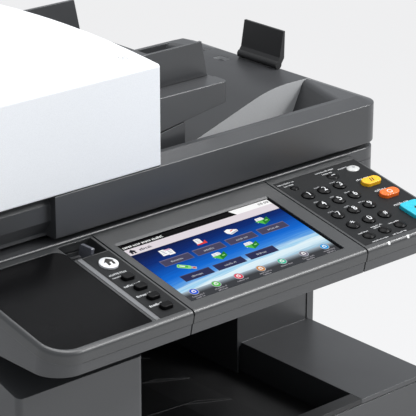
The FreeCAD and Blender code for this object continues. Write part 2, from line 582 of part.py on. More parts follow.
def feeder_lugs():
    """Hinge knuckles of the lid, and the bearings of the roller, table and feed cover."""
    lugs = []
    for centre_x in (-170, 170):
        for side in (-1, 1):
            x0 = centre_x + side * 19.5 - 10
            knuckle = cylinder_x(x0, x0 + 20, *FEEDER_AXIS, 8)
            arm = box(x0, x0 + 20, FEEDER_BACK_Y - 2, FEEDER_AXIS[0], FEEDER_BOTTOM_Z,
                      FEEDER_AXIS[1] + 8)
            bore = cylinder_x(x0 - 1, x0 + 21, *FEEDER_AXIS, PIN_RADIUS + RUNNING_GAP)
            lugs.append(knuckle.fuse(arm).cut(bore))
    for y in (PAPER_CENTRE_Y - 50, PAPER_CENTRE_Y + 44):
        post = box(ROLLER_AXIS[0] - 7, ROLLER_AXIS[0] + 7, y, y + 6, 640, ROLLER_AXIS[1] + 7)
        lugs.append(post.cut(cylinder_y(y - 1, y + 7, *ROLLER_AXIS, 4 + RUNNING_GAP)))
    for y in FEED_COVER_POSTS_Y:
        post = box(FEED_COVER_AXIS[0] - 4, FEED_COVER_AXIS[0] + 5, y, y + 8, 640,
                   FEED_COVER_AXIS[1] + 3)
        pin = cylinder_y(y - 7.5, y + 8, *FEED_COVER_AXIS, PIN_RADIUS)
        lugs.append(post.fuse(pin))
    for y, pin_start in ((TABLE_FRONT_Y - 11.5, 0), (TABLE_BACK_Y + 1.5, -12)):
        post = box(TABLE_AXIS[0] - 6, TABLE_AXIS[0] + 6, y, y + 8, 640, TABLE_AXIS[1] + 4)
        pin = cylinder_y(y + pin_start, y + pin_start + 20, *TABLE_AXIS, PIN_RADIUS)
        lugs.append(post.fuse(pin))
    return lugs


def delivery_ramp():
    """Raised ramp in the middle of the delivery area, rising into the right rim."""
    y = RAMP_FRONT_Y + 0.2
    right = HALF_WIDTH - 0.6
    top = FEEDER_RIM_Z + 0.8
    rim_z = RIM_EDGE_Z + (FEEDER_HALF_WIDTH - right) * (FEEDER_RIM_Z - RIM_EDGE_Z) / RIM_INSET + 0.4
    foot_start = vec(72, y, POCKET_FLOOR_Z + 2.5)
    foot_middle = vec(89, y, POCKET_FLOOR_Z + 5.0)
    slope_start = vec(104.5, y, 613.3)
    slope_end = vec(184.0, y, 638.8)
    crest_middle = vec(214.0, y, 646.2)
    crest_end = vec(246.0, y, top)
    low = POCKET_FLOOR_Z + 0.1
    edges = [
        Part.makeLine(vec(TABLE_FOOT_X - 20, y, low), vec(TABLE_FOOT_X - 20, y, foot_start.z)),
        Part.makeLine(vec(TABLE_FOOT_X - 20, y, foot_start.z), foot_start),
        Part.Arc(foot_start, foot_middle, slope_start).toShape(),
        Part.makeLine(slope_start, slope_end),
        Part.Arc(slope_end, crest_middle, crest_end).toShape(),
        Part.makeLine(crest_end, vec(FEEDER_HALF_WIDTH - RIM_INSET, y, top)),
        Part.makeLine(vec(FEEDER_HALF_WIDTH - RIM_INSET, y, top), vec(right, y, rim_z)),
        Part.makeLine(vec(right, y, rim_z), vec(right, y, low)),
        Part.makeLine(vec(right, y, low), vec(TABLE_FOOT_X - 20, y, low)),
    ]
    ramp = Part.Face(Part.Wire(edges)).extrude(vec(0, RAMP_BACK_Y - RAMP_FRONT_Y - 0.4, 0))
    hollow = box(120, right - 4, RAMP_FRONT_Y + 4, RAMP_BACK_Y - 4, 600, 612)
    finger_hole = slab(240, 252, 112, 130, top - 4, top + 4, (3, 3, 3, 3))
    return ramp.cut(hollow).cut(finger_hole)


def platen_pad():
    """White pad that presses a sheet on the glass."""
    return slab(-186, 166, -46, 176, SCANNER_TOP_Z + 0.5, FEEDER_BOTTOM_Z, (4, 4, 4, 4))


def feed_cover_section(inset):
    """Lengthwise section of the feed cover, inset by the wall thickness for the inside."""
    bottom = FEED_COVER_BOTTOM_Z - (1 if inset else 0)
    top = FEED_COVER_EDGE_Z + FEED_COVER_CROWN + 10
    right = FEED_COVER_X - inset
    axis_x, axis_z = FEED_COVER_AXIS
    radius = 7.5
    if inset:
        left = axis_x - 7.5 + inset
        return prism_y([(left, bottom), (left, 676), (-240, 712), (-205, 735), (right, 735),
                        (right, bottom)], -110, 290)
    start = vec(axis_x, -110, bottom)
    heel = vec(axis_x - radius * math.sqrt(0.5), -110, axis_z - radius * math.sqrt(0.5))
    side = vec(axis_x - radius, -110, axis_z)
    side_top = vec(axis_x - radius, -110, 680)
    shoulder_middle = vec(-248, -110, 730)
    shoulder_end = vec(-195, -110, top)
    edges = [
        Part.makeLine(vec(right, -110, bottom), start),
        Part.Arc(start, heel, side).toShape(),
        Part.makeLine(side, side_top),
        Part.Arc(side_top, shoulder_middle, shoulder_end).toShape(),
        Part.makeLine(shoulder_end, vec(right, -110, top)),
        Part.makeLine(vec(right, -110, top), vec(right, -110, bottom)),
    ]
    return Part.Face(Part.Wire(edges)).extrude(vec(0, 400, 0))


def feed_cover_crown(inset):
    """Cross section of the feed cover: upright front and back, gently crowned top."""
    front = SCANNER_FRONT_Y + inset
    back = FEEDER_BACK_Y - inset
    edge = FEED_COVER_EDGE_Z - inset
    radius = 2.5
    bottom = FEED_COVER_BOTTOM_Z - 2
    x = -300
    turn = radius * (1 - math.sqrt(0.5))
    edges = [
        Part.makeLine(vec(x, front, bottom), vec(x, front, edge - radius)),
        Part.Arc(vec(x, front, edge - radius), vec(x, front + turn, edge - turn),
                 vec(x, front + radius, edge + 0.5)).toShape(),
        Part.Arc(vec(x, front + radius, edge + 0.5),
                 vec(x, PAPER_CENTRE_Y - 10, edge + FEED_COVER_CROWN),
                 vec(x, back - radius, edge + 0.5)).toShape(),
        Part.Arc(vec(x, back - radius, edge + 0.5), vec(x, back - turn, edge - turn),
                 vec(x, back, edge - radius)).toShape(),
        Part.makeLine(vec(x, back, edge - radius), vec(x, back, bottom)),
        Part.makeLine(vec(x, back, bottom), vec(x, front, bottom)),
    ]
    return Part.Face(Part.Wire(edges)).extrude(vec(320, 0, 0))


def feed_cover():
    """White cover over the document path, hinged at its left end."""
    outer = feed_cover_section(0).common(feed_cover_crown(0))
    outer = fillet_where(outer, 1.2, lambda e: on_plane(e, "X", FEED_COVER_X)
                         and not on_plane(e, "Z", FEED_COVER_BOTTOM_Z))
    inner = feed_cover_section(SKIN).common(feed_cover_crown(SKIN))
    cover = outer.cut(inner)
    throat = box(FEED_COVER_X - SKIN - 1, FEED_COVER_X + 1, TABLE_FRONT_Y - 1.5, TABLE_BACK_Y + 1.5,
                 FEED_COVER_BOTTOM_Z - 1, 726)
    cover = cover.cut(throat)
    for y in FEED_COVER_POSTS_Y:
        rib = cylinder_y(y - 8, y - 1, *FEED_COVER_AXIS, 6.5)
        web = box(-269, -262, y - 8, y - 1, 650, 680)
        cover = cover.fuse(rib).fuse(web)
        cover = cover.cut(box(-272, -252, y - 1, y + 9, 640, 662))
    bore = cylinder_y(-91, 226, *FEED_COVER_AXIS, PIN_RADIUS + RUNNING_GAP)
    return cover.cut(bore).removeSplitter()


def document_table():
    """Hinged table that holds the originals above the delivery area."""
    front = [(-58, 668), (-58, 684), (-45, TABLE_TOP_Z), (TABLE_RIGHT_X, TABLE_TOP_Z),
             (TABLE_RIGHT_X, 674.4), (-30, 655.5), (-45, 662)]
    body = prism_y(front, TABLE_FRONT_Y, TABLE_BACK_Y)
    body = body.common(slab(-70, TABLE_RIGHT_X, TABLE_FRONT_Y, TABLE_BACK_Y, 640, 710, (0, 6, 6, 0)))
    body = fillet_where(body, 1.2, lambda e: on_plane(e, "Z", TABLE_TOP_Z) and e.CenterOfMass.x > -40)
    sunk = box(-44, TABLE_RIGHT_X + 1, RAMP_FRONT_Y - 41, RAMP_BACK_Y + 41, TABLE_TOP_Z - 1.5, 720)
    body = body.cut(sunk)
    hollow = prism_y([(-20, 662), (-20, 690), (84, 690), (84, 678)], TABLE_FRONT_Y + 4,
                     TABLE_BACK_Y - 4)
    body = body.cut(hollow)
    bore = cylinder_y(TABLE_FRONT_Y - 1, TABLE_BACK_Y + 1, *TABLE_AXIS, PIN_RADIUS + RUNNING_GAP)
    return body.cut(bore)


def width_guide(direction):
    """Upright guide with a foot that the originals lie on; direction points at the centre."""
    inner_y = PAPER_CENTRE_Y - direction * GUIDE_REACH
    outer_y = inner_y - direction * 3
    foot_y = inner_y + direction * 22
    left, right = -4, TABLE_RIGHT_X - 2
    bottom = TABLE_TOP_Z - 1.2
    top = bottom + GUIDE_HEIGHT
    low, high = sorted((inner_y, outer_y))
    wall = prism_y([(left, bottom), (left, top - 6), (left + 6, top), (right - 8, top), (right, bottom)],
                   low, high)
    low, high = sorted((outer_y, foot_y))
    return union([wall, box(left, right, low, high, bottom, bottom + 1.6)])


def feed_roller():
    """Pick-up roller: two rubber tyres on one shaft."""
    shaft = cylinder_y(PAPER_CENTRE_Y - 54, PAPER_CENTRE_Y + 54, *ROLLER_AXIS, 4)
    tyres = [shaft]
    for y in (PAPER_CENTRE_Y - 36, PAPER_CENTRE_Y + 12):
        tyres.append(cylinder_y(y, y + 24, *ROLLER_AXIS, 14))
    return union(tyres)


def original_stopper():
    """Flap at the right end that stops the originals; it folds down to the left."""
    x, z = STOPPER_AXIS
    blade = prism_y([(x - 4, z), (x + 1.5, z + 8.3), (x + 6.5, z + 38), (x + 9.3, z + 38),
                     (x + 8.5, z + 6.8), (x + 4, z)], 47.5, 111.9)
    barrel = cylinder_y(47.5, 111.9, x, z, 4.6)
    return union([blade, barrel])


# ---- operation panel (flat frame) ----------------------------------------------------
def panel_plate(u0, u1, radii):
    """Top moulding of one panel section: a shallow shell, open below, with rounded outer edges."""
    outer = slab(u0, u1, PANEL_FRONT, PANEL_BACK, PANEL_SEAM, PANEL_TOP, radii)
    at_seams = [u for u in (u0, u1) if LEFT_SEAM - 1 < u < RIGHT_SEAM + 1]
    outer = fillet_where(outer, 1.0, lambda e: on_plane(e, "Z", PANEL_TOP) and on_plane(e, "Y", PANEL_BACK))
    outer = fillet_where(outer, PANEL_EDGE_RADIUS, lambda e: on_plane(e, "Z", PANEL_TOP)
                         and e.CenterOfMass.y < PANEL_BACK - 2
                         and not any(on_plane(e, "X", u) for u in at_seams))
    wall = 2.5
    inner_radii = [max(radius - wall, 0) for radius in radii]
    inner = slab(u0 + wall, u1 - wall, PANEL_FRONT + wall, PANEL_BACK - wall, PANEL_SEAM - 1,
                 PANEL_TOP - 2.6, inner_radii)
    rear_relief = box(u0 - 1, u1 + 1, 77, PANEL_BACK + 1, PANEL_SEAM - 1, PANEL_REAR_SEAM)
    return outer.cut(inner).cut(rear_relief)


def groove(u0, u1, v0, v1):
    """Cutter for a fine groove round a rectangle of the panel's face."""
    width = 0.6
    outer = slab(u0, u1, v0, v1, PANEL_TOP - 0.5, PANEL_TOP + 1, (1.5, 1.5, 1.5, 1.5))
    inner = slab(u0 + width, u1 - width, v0 + width, v1 - width, PANEL_TOP - 1, PANEL_TOP + 2,
                 (1, 1, 1, 1))
    return outer.cut(inner)


def housing_wedge(inset):
    """Side profile of the lower moulding, drawn in by the wall thickness for the inside."""
    front, deepest, heel = HOUSING_UNDERSIDE
    top = PANEL_SEAM - 0.4 + (1 if inset else 0)
    slope = (deepest[1] - front[1]) / (deepest[0] - front[0])
    start_v = PANEL_FRONT - 1
    start_w = front[1] + (start_v - front[0]) * slope
    return prism_x([(start_v, top), (start_v, start_w + inset), (deepest[0], deepest[1] + inset),
                    (heel[0] - inset, heel[1] + inset), (62 - inset, HOUSING_REAR_BOTTOM),
                    (62 - inset, top)], PANEL_LEFT, PANEL_RIGHT)


def panel_housing():
    """Lower moulding of the whole panel, with slots and bores for the tilt hinge."""
    top = PANEL_SEAM - 0.4
    lowest = HOUSING_UNDERSIDE[1][1] - 1
    outer = slab(PANEL_LEFT + 1, PANEL_RIGHT - 1, PANEL_FRONT + 1, 63, lowest, top,
                 (PANEL_CORNER - 1, 8, 0, 0))
    outer = outer.common(housing_wedge(0))
    outer = outer.fuse(slab(PANEL_LEFT + 12, PANEL_RIGHT - 12, 60, 77, HOUSING_REAR_BOTTOM, top,
                            (0, 0, 3, 3)))
    inner = slab(PANEL_LEFT + 4, PANEL_RIGHT - 4, PANEL_FRONT + 4, 60, lowest, top + 1,
                 (PANEL_CORNER - 4, 5, 0, 0))
    inner = inner.common(housing_wedge(SKIN))
    rear_space = box(PANEL_LEFT + 16, PANEL_RIGHT - 16, 58, 74, HOUSING_REAR_BOTTOM + 2.5, PANEL_SEAM)
    body = outer.removeSplitter().cut(inner).cut(rear_space)
    axis_v, axis_w = PANEL_AXIS
    for u in PANEL_LUG_U:
        body = body.cut(box(u - 19, u + 19, axis_v - 7, 90, lowest, 10))
        for side in (-1, 1):
            low_u, high_u = sorted((u + side * 9, u + side * 19))
            body = body.fuse(box(low_u, high_u, 58, axis_v + 5, *HINGE_BOSS))
        body = body.cut(cylinder_x(u - 20, u + 20, axis_v, axis_w, PANEL_PIN_RADIUS + RUNNING_GAP))
    for u in (LEFT_SEAM, RIGHT_SEAM - SEAM_GAP):
        body = body.cut(box(u, u + SEAM_GAP, PANEL_FRONT, PANEL_FRONT + 3, lowest, top + 1))
    return body.removeSplitter()


def panel_left_cover():
    """Left panel section: seat of the glossy insert, a ridge, the key column and the lever pocket."""
    plate = panel_plate(PANEL_LEFT, LEFT_SEAM, (PANEL_CORNER, 0, 0, 0))
    u0, u1, v0, v1 = INSERT
    seat = slab(u0 - 0.4, u1 + 0.4, v0 - 0.4, v1 + 0.4, INSERT_SEAT, PANEL_TOP + 1,
                (24.4, 2.4, 12.4, 12.4))
    ridge = slab(-152.5, -146.5, v0, 52.8, PANEL_TOP - 0.5, PANEL_TOP + 0.7, (1, 1, 1, 1))
    ridge = fillet_where(ridge, 0.6, lambda e: on_plane(e, "Z", PANEL_TOP + 0.7))
    lever_well = box(-154.5, -114, 54, 81, PANEL_SEAM - 1, PANEL_TOP + 1)
    plate = plate.cut(seat).fuse(ridge).cut(lever_well).cut(groove(-145.5, -113.6, v0, 52.8))
    for cutter in key_holes("left"):
        plate = plate.cut(cutter)
    return plate


def panel_insert():
    """Flat glossy insert of the left panel section."""
    u0, u1, v0, v1 = INSERT
    plate = slab(u0, u1, v0, v1, INSERT_SEAT, INSERT_TOP, (24, 2, 12, 12))
    return fillet_where(plate, 0.3, lambda e: on_plane(e, "Z", INSERT_TOP))


def screen_bezel():
    """Middle panel section around the display."""
    plate = panel_plate(LEFT_SEAM + SEAM_GAP, RIGHT_SEAM - SEAM_GAP, (0, 0, 0, 0))
    half_u, half_v = DISPLAY_HALF
    window = box(DISPLAY_CENTRE_U - half_u - 0.6, DISPLAY_CENTRE_U + half_u + 0.6, -half_v - 0.6,
                 half_v + 0.6, -12, 4)
    plate = plate.cut(window)
    slope = 2.2
    bevel = prism_x([(half_v - 1, PANEL_TOP - 1.4), (half_v + 0.6, PANEL_TOP - 1.4),
                     (half_v + slope + 1.4, PANEL_TOP + 0.1), (half_v - 1, PANEL_TOP + 0.1)],
                    DISPLAY_CENTRE_U - half_u - 0.6, DISPLAY_CENTRE_U + half_u + 0.6)
    return plate.cut(bevel)


def touch_screen():
    half_u, half_v = DISPLAY_HALF
    return slab(DISPLAY_CENTRE_U - half_u, DISPLAY_CENTRE_U + half_u, -half_v, half_v, -4.5,
                PANEL_TOP - 1.6, (0.5, 0.5, 0.5, 0.5))


def keypad_cover():
    """Right panel section, bored for the keys."""
    plate = panel_plate(RIGHT_SEAM, PANEL_RIGHT, (0, 8, 0, 0))
    plate = plate.cut(groove(RIGHT_SEAM + 2.9, PANEL_RIGHT - 5.4, -64, 74.4))
    for cutter in key_holes("right"):
        plate = plate.cut(cutter)
    return plate


def tilt_lever():
    """Upright blade that releases the panel's tilt lock; its top stays level."""
    u, v, w = LEVER_AXIS
    blade = prism_x([(v - 8.5, w), (v - 8.5, 5.9), (v - 7.5, 6.6), (v + 8.5, 3.2), (v + 9.5, 1.8),
                     (v + 9.5, w + 3), (v + 3, w)], u - 1.7, u + 1.7)
    return union([blade, cylinder_x(u - 3.5, u + 3.5, v, w, 2.2)])


# ---- keys ----------------------------------------------------------------------------
def round_cap(u, v, radius, top, stretch):
    """Domed cap, round or stretched into an oval, with its stem."""
    sphere_radius = (radius * radius + 4.0) / 4.0
    cap = Part.makeCylinder(radius, top - KEY_FLOOR + 3, vec(0, 0, KEY_FLOOR))
    ball = Part.makeSphere(sphere_radius, vec(0, 0, top - sphere_radius))
    cap = cap.common(ball.fuse(Part.makeCylinder(radius, 2, vec(0, 0, KEY_FLOOR))))
    if stretch != 1.0:
        matrix = FreeCAD.Matrix()
        matrix.scale(stretch, 1.0, 1.0)
        cap = cap.transformGeometry(matrix)
    stem = cylinder_z(KEY_STEM_BOTTOM, KEY_FLOOR + 0.5, 0, 0, 2.0)
    cap = cap.fuse(stem)
    cap.translate(vec(u, v, 0))
    return cap


def bar_cap(u, v, half_u, half_v, radius, top):
    """Low rectangular cap with rounded corners and its stem."""
    cap = slab(u - half_u, u + half_u, v - half_v, v + half_v, KEY_FLOOR, top, (radius,) * 4)
    cap = fillet_where(cap, 1.0, lambda e: on_plane(e, "Z", top))
    return cap.fuse(cylinder_z(KEY_STEM_BOTTOM, KEY_FLOOR + 0.5, u, v, 2.0))


def round_hole(u, v, radius, stretch):
    hole = Part.makeCylinder(radius + KEY_GAP, 30, vec(0, 0, -15))
    if stretch != 1.0:
        matrix = FreeCAD.Matrix()
        matrix.scale(stretch, 1.0, 1.0)
        hole = hole.transformGeometry(matrix)
    hole.translate(vec(u, v, 0))
    return hole


def bar_hole(u, v, half_u, half_v, radius):
    half_u += KEY_GAP
    half_v += KEY_GAP
    return slab(u - half_u, u + half_u, v - half_v, v + half_v, -15, 15, (radius + KEY_GAP,) * 4)


NUMBER_COLUMNS = (138.6, 161.2, 183.6)
NUMBER_ROWS = (38.7, 16.3, -6.0, -28.2)
NUMBER_NAMES = (("key_1", "key_2", "key_3"), ("key_4", "key_5", "key_6"),
                ("key_7", "key_8", "key_9"), ("key_star", "key_0", "key_hash"))
NUMBER_RADIUS = 6.6
ROUND_KEYS = {
    # name: (panel side, u, v, radius, top, stretch)
    "key_home": ("left", -128.8, 33.5, 9.6, 4.6, 1.0),
    "key_clear": ("right", 138.6, -51.2, 6.0, 3.8, 1.15),
    "key_quick_dial": ("right", 161.2, -51.2, 6.0, 3.8, 1.15),
    "key_enter": ("right", 183.6, -51.2, 6.0, 3.8, 1.15),
    "key_interrupt": ("right", 136.4, 57.7, 4.6, 2.8, 1.0),
    "key_logout": ("right", 191.6, 57.2, 6.0, 3.2, 1.15),
    "key_energy_saver": ("right", 223.8, 59.5, 6.0, 3.2, 1.3),
}
for row_v, row_names in zip(NUMBER_ROWS, NUMBER_NAMES):
    for column_u, number_name in zip(NUMBER_COLUMNS, row_names):
        ROUND_KEYS[number_name] = ("right", column_u, row_v, NUMBER_RADIUS, 4.2, 1.1)
BAR_KEYS = {
    # name: (panel side, u, v, half width, half depth, corner radius, top)
    "key_status": ("left", -128.5, 5.0, 6.4, 4.2, 2.6, 4.8),
    "key_copy": ("left", -128.5, -14.2, 6.4, 4.2, 2.6, 4.8),
    "key_send": ("left", -128.5, -33.2, 6.4, 4.2, 2.6, 4.8),
    "key_fax": ("left", -128.5, -52.0, 6.4, 4.2, 2.6, 4.8),
    "key_reset": ("right", 219.3, 28.1, 12.3, 6.2, 6.1, 5.0),
    "key_stop": ("right", 219.3, 0.7, 12.3, 6.2, 6.1, 5.0),
    "key_start": ("right", 220.5, -38.0, 13.2, 14.2, 5.0, 5.0),
}


def key_holes(side):
    """Cutters for the key holes of one panel section."""
    cutters = []
    for key_side, u, v, radius, _, stretch in ROUND_KEYS.values():
        if key_side == side:
            cutters.append(round_hole(u, v, radius, stretch))
    for key_side, u, v, half_u, half_v, radius, _ in BAR_KEYS.values():
        if key_side == side:
            cutters.append(bar_hole(u, v, half_u, half_v, radius))
    return cutters


def keys():
    """Every key cap, in the machine frame, by name."""
    caps = {}
    for name, (_, u, v, radius, top, stretch) in ROUND_KEYS.items():
        caps[name] = tilt(round_cap(u, v, radius, top, stretch))
    for name, (_, u, v, half_u, half_v, radius, top) in BAR_KEYS.items():
        caps[name] = tilt(bar_cap(u, v, half_u, half_v, radius, top))
    return caps


# ---- build ---------------------------------------------------------------------------
def build():
    nodes = {
        "base_frame": base_frame(),
        "left_cover": left_cover(),
        "right_cover": right_cover(),
        "rear_cover": rear_cover(),
        "inner_tray": inner_tray(),
        "rubber_feet": rubber_feet(),
        "toner_containers": toner_containers(),
        "image_units": image_units(),
        "fuser_unit": fuser_unit(),
        "cassette": cassette(),
        "lift_plate": lift_plate(),
        "front_cover": front_cover(),
        "right_door": right_door(),
        "mp_tray": mp_tray(),
        "scanner_base": scanner_base(),
        "scanner_top": scanner_top(),
        "platen_glass": platen_glass(),
        "scan_carriage": scan_carriage(),
        "feeder_base": feeder_base(),
        "delivery_ramp": delivery_ramp(),
        "platen_pad": platen_pad(),
        "feed_cover": feed_cover(),
        "document_table": document_table(),
        "front_guide": width_guide(1),
        "rear_guide": width_guide(-1),
        "feed_roller": feed_roller(),
        "original_stopper": original_stopper(),
        "panel_housing": tilt(panel_housing()),
        "panel_left_cover": tilt(panel_left_cover()),
        "panel_insert": tilt(panel_insert()),
        "screen_bezel": tilt(screen_bezel()),
        "touch_screen": tilt(touch_screen()),
        "keypad_cover": tilt(keypad_cover()),
        "tilt_lever": tilt(tilt_lever()),
    }
    nodes.update(keys())
    return nodes


os.makedirs("parts", exist_ok=True)
for node, shape in build().items():
    shape.exportStep("parts/" + node + ".step")
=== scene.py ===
"""Looks of an office photocopier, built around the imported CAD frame.

Order: shader helpers, materials, plain-shape helpers, the operation panel's artwork, fittings on the
machine, then floor, light and camera. Sizes are in millimetres and turned into metres by MM.
"""
import json
import math
import random

import bmesh
import bpy
from mathutils import Euler, Matrix, Vector
from mathutils.bvhtree import BVHTree


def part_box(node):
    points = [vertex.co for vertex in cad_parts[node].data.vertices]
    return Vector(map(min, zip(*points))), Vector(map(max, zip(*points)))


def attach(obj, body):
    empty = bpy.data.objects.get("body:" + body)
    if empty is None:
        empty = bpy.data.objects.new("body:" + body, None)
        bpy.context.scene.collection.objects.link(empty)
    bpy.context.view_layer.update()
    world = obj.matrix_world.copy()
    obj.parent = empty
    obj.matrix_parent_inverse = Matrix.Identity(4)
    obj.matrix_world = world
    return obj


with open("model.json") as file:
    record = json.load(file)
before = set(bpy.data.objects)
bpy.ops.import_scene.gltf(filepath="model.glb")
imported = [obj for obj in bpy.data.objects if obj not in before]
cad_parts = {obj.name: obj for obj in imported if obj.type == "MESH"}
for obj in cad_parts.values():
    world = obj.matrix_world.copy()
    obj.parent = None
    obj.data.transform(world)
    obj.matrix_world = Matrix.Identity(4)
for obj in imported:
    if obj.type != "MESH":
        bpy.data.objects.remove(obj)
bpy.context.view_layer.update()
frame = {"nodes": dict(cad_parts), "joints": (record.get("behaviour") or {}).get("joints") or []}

MM = 0.001
NODES = frame["nodes"]
dice = random.Random(4)


# ---- shader helpers ---------------------------------------------------------------------
def srgb(red, green, blue):
    """Colour given as 0-255 display values, as the linear values that shaders use."""
    def linear(value):
        share = value / 255
        return share / 12.92 if share <= 0.04045 else ((share + 0.055) / 1.055) ** 2.4
    return (linear(red), linear(green), linear(blue), 1.0)


class Graph:
    """One material's node tree, with short calls for the nodes used here."""

    def __init__(self, name):
        self.material = bpy.data.materials.new(name)
        self.material.use_nodes = True
        self.tree = self.material.node_tree
        self.tree.nodes.clear()
        self.surface = self.add("ShaderNodeBsdfPrincipled")
        output = self.add("ShaderNodeOutputMaterial")
        self.tree.links.new(self.surface.outputs["BSDF"], output.inputs["Surface"])
        self.place = self.add("ShaderNodeTexCoord").outputs["Object"]

    def add(self, kind, inputs=None, **settings):
        node = self.tree.nodes.new(kind)
        for key, value in settings.items():
            setattr(node, key, value)
        for key, value in (inputs or {}).items():
            self.feed(node.inputs[key], value)
        return node

    def feed(self, socket, value):
        if isinstance(value, bpy.types.NodeSocket):
            self.tree.links.new(value, socket)
        else:
            socket.default_value = value

    def set(self, **values):
        """Feed the surface shader's inputs, named with _ for a space."""
        for key, value in values.items():
            self.feed(self.surface.inputs[key.replace("_", " ")], value)

    def math(self, operation, first, second=0.0, clamp=False):
        node = self.add("ShaderNodeMath", {0: first, 1: second}, operation=operation, use_clamp=clamp)
        return node.outputs[0]

    def noise(self, scale, detail=2.0, stretch=(1, 1, 1)):
        """Noise centred on 0.5; scale is in features per metre."""
        moved = self.add("ShaderNodeMapping", {"Vector": self.place, "Scale": stretch})
        node = self.add("ShaderNodeTexNoise", {"Vector": moved.outputs[0], "Scale": scale, "Detail": detail})
        return node.outputs["Fac"]

    def spread(self, value, low, high):
        """Map 0.3-0.7, where noise mostly lies, onto low-high."""
        node = self.add("ShaderNodeMapRange", {"Value": value, "From Min": 0.3, "From Max": 0.7,
                                               "To Min": low, "To Max": high})
        return node.outputs["Result"]

    def mix(self, factor, first, second):
        node = self.add("ShaderNodeMixRGB", {"Fac": factor, "Color1": first, "Color2": second})
        return node.outputs["Color"]

    def edge(self, radius, reach):
        """(rounded normal, 0-1 mask of convex and concave edges within radius metres)."""
        rounded = self.add("ShaderNodeBevel", {"Radius": radius}, samples=4).outputs["Normal"]
        true = self.add("ShaderNodeNewGeometry").outputs["Normal"]
        dot = self.add("ShaderNodeVectorMath", {0: rounded, 1: true}, operation="DOT_PRODUCT")
        off = self.math("SUBTRACT", 1.0, dot.outputs["Value"])
        return rounded, self.math("MULTIPLY", off, reach, clamp=True)

    def bump(self, height, strength, depth, normal=None):
        inputs = {"Height": height, "Strength": strength, "Distance": depth}
        if normal is not None:
            inputs["Normal"] = normal
        return self.add("ShaderNodeBump", inputs).outputs["Normal"]


def shade(colour, share):
    return tuple(channel * share for channel in colour[:3]) + (1.0,)


def moulded(name, colour, roughness=0.33, grain=0.12, edge_wear_and_highlight=3.0, edge_radius=0.0009, cloud=0.08, **extra):
    """Spark-textured moulded plastic: cloudy tone, fine grain, handling smears, and paler edges that are
    part rubbed wear and part painted highlight.
    """
    g = Graph(name)
    tone = g.spread(g.noise(5.0, 4.0), 0.0, 1.0)
    body = g.mix(tone, shade(colour, 1 - cloud), shade(colour, 1 + cloud))
    speck = g.spread(g.noise(1400.0, 1.0), 0.0, 1.0)
    body = g.mix(g.math("MULTIPLY", speck, 0.22), body, shade(colour, 1.35))
    rounded, rim = g.edge(edge_radius, 2.2)
    rub_and_sheen = g.spread(g.noise(38.0, 3.0), 0.35, 1.0)
    # Paler edges, patchy along their length: part rubbed wear, part a painted highlight where light would
    # catch the rounded edge.
    body = g.mix(g.math("MULTIPLY", rim, rub_and_sheen, clamp=True), body, shade(colour, edge_wear_and_highlight))
    smear = g.spread(g.noise(11.0, 5.0, (1, 1, 2.5)), -0.05, 0.07)
    height = g.add("ShaderNodeMixRGB", {"Fac": 0.35, "Color1": g.noise(1900.0, 2.0),
                                        "Color2": g.noise(620.0, 2.0)}).outputs["Color"]
    g.set(Base_Color=body, Roughness=g.math("ADD", smear, roughness),
          Normal=g.bump(height, grain, 0.0003, rounded), **extra)
    return g.material


def polished(name, colour, roughness=0.10, edge_radius=0.0006, edge_wear_and_highlight=1.6, **extra):
    """Smooth glossy plastic with faint swirl marks and fingerprints, and paler edges that are part wear and
    part painted highlight.
    """
    g = Graph(name)
    smudge = g.spread(g.noise(26.0, 6.0), 0.0, 0.10)
    scratch = g.spread(g.noise(420.0, 2.0, (1, 7, 1)), -0.01, 0.04)
    rounded, rim = g.edge(edge_radius, 1.6)
    # Paler edges: part wear, part a painted highlight on the rounded edge.
    body = g.mix(rim, colour, shade(colour, edge_wear_and_highlight))
    g.set(Base_Color=body, Roughness=g.math("ADD", g.math("ADD", smudge, scratch), roughness),
          Normal=g.bump(g.noise(300.0, 2.0), 0.03, 0.0002, rounded), **extra)
    return g.material


def sheet_metal(name, colour, roughness=0.34):
    """Galvanised or ground steel: metallic with drawn-out rolling marks, and paler edges that are part wear
    and part painted highlight.
    """
    g = Graph(name)
    rolled = g.noise(140.0, 3.0, (1, 22, 1))
    body = g.mix(g.spread(g.noise(16.0, 4.0), 0.0, 1.0), shade(colour, 0.82), shade(colour, 1.1))
    rounded, rim = g.edge(0.0006, 1.5)
    # Paler edges: part wear, part a painted highlight on the rounded edge.
    body = g.mix(rim, body, shade(colour, 1.5))
    g.set(Base_Color=body, Metallic=0.9, Roughness=g.math("ADD", g.spread(rolled, -0.07, 0.09), roughness),
          Normal=g.bump(rolled, 0.10, 0.0002, rounded))
    return g.material


def soft_rubber(name, colour):
    g = Graph(name)
    dust = g.spread(g.noise(60.0, 5.0), 0.0, 0.5)
    g.set(Base_Color=g.mix(dust, colour, shade(colour, 1.7)), Roughness=0.82,
          Normal=g.bump(g.noise(900.0, 3.0), 0.3, 0.0004))
    return g.material


def clear_glass(name):
    g = Graph(name)
    g.set(Base_Color=srgb(214, 228, 226), Roughness=g.spread(g.noise(40.0, 4.0), 0.01, 0.05),
          Transmission_Weight=0.92, IOR=1.5)
    return g.material


def printed(name, colour, roughness=0.5, glow=0.0):
    """Silk-screen ink, or with glow a lit shape on the display under its clear front."""
    g = Graph(name)
    ink = g.mix(g.spread(g.noise(2600.0, 2.0), 0.0, 0.25), colour, shade(colour, 0.8))
    if glow:
        g.set(Base_Color=(0.0, 0.0, 0.0, 1.0), Emission_Color=ink, Emission_Strength=glow,
              Roughness=roughness, Specular_IOR_Level=0.02)
    else:
        g.set(Base_Color=ink, Roughness=roughness,
              Normal=g.bump(g.noise(2600.0, 2.0), 0.1, 0.0001))
    return g.material


# ---- the panel's own frame ----------------------------------------------------------------
FACE_W = 1.0            # panel surface, above the origin of the panel frame
SCREEN_W = -0.6         # surface of the display
SCREEN_U = -1.0         # middle of the display
SCREEN_HALF_U = 99.5
SCREEN_HALF_V = 56.25
PANEL_FRONT_V = -72.3   # front face of the panel
PANEL_EDGE_RADIUS = 4.5
PLATE_SEAMS = ((-111.15, -109.45), (116.55, 118.25))    # u of the gaps between the three top plates


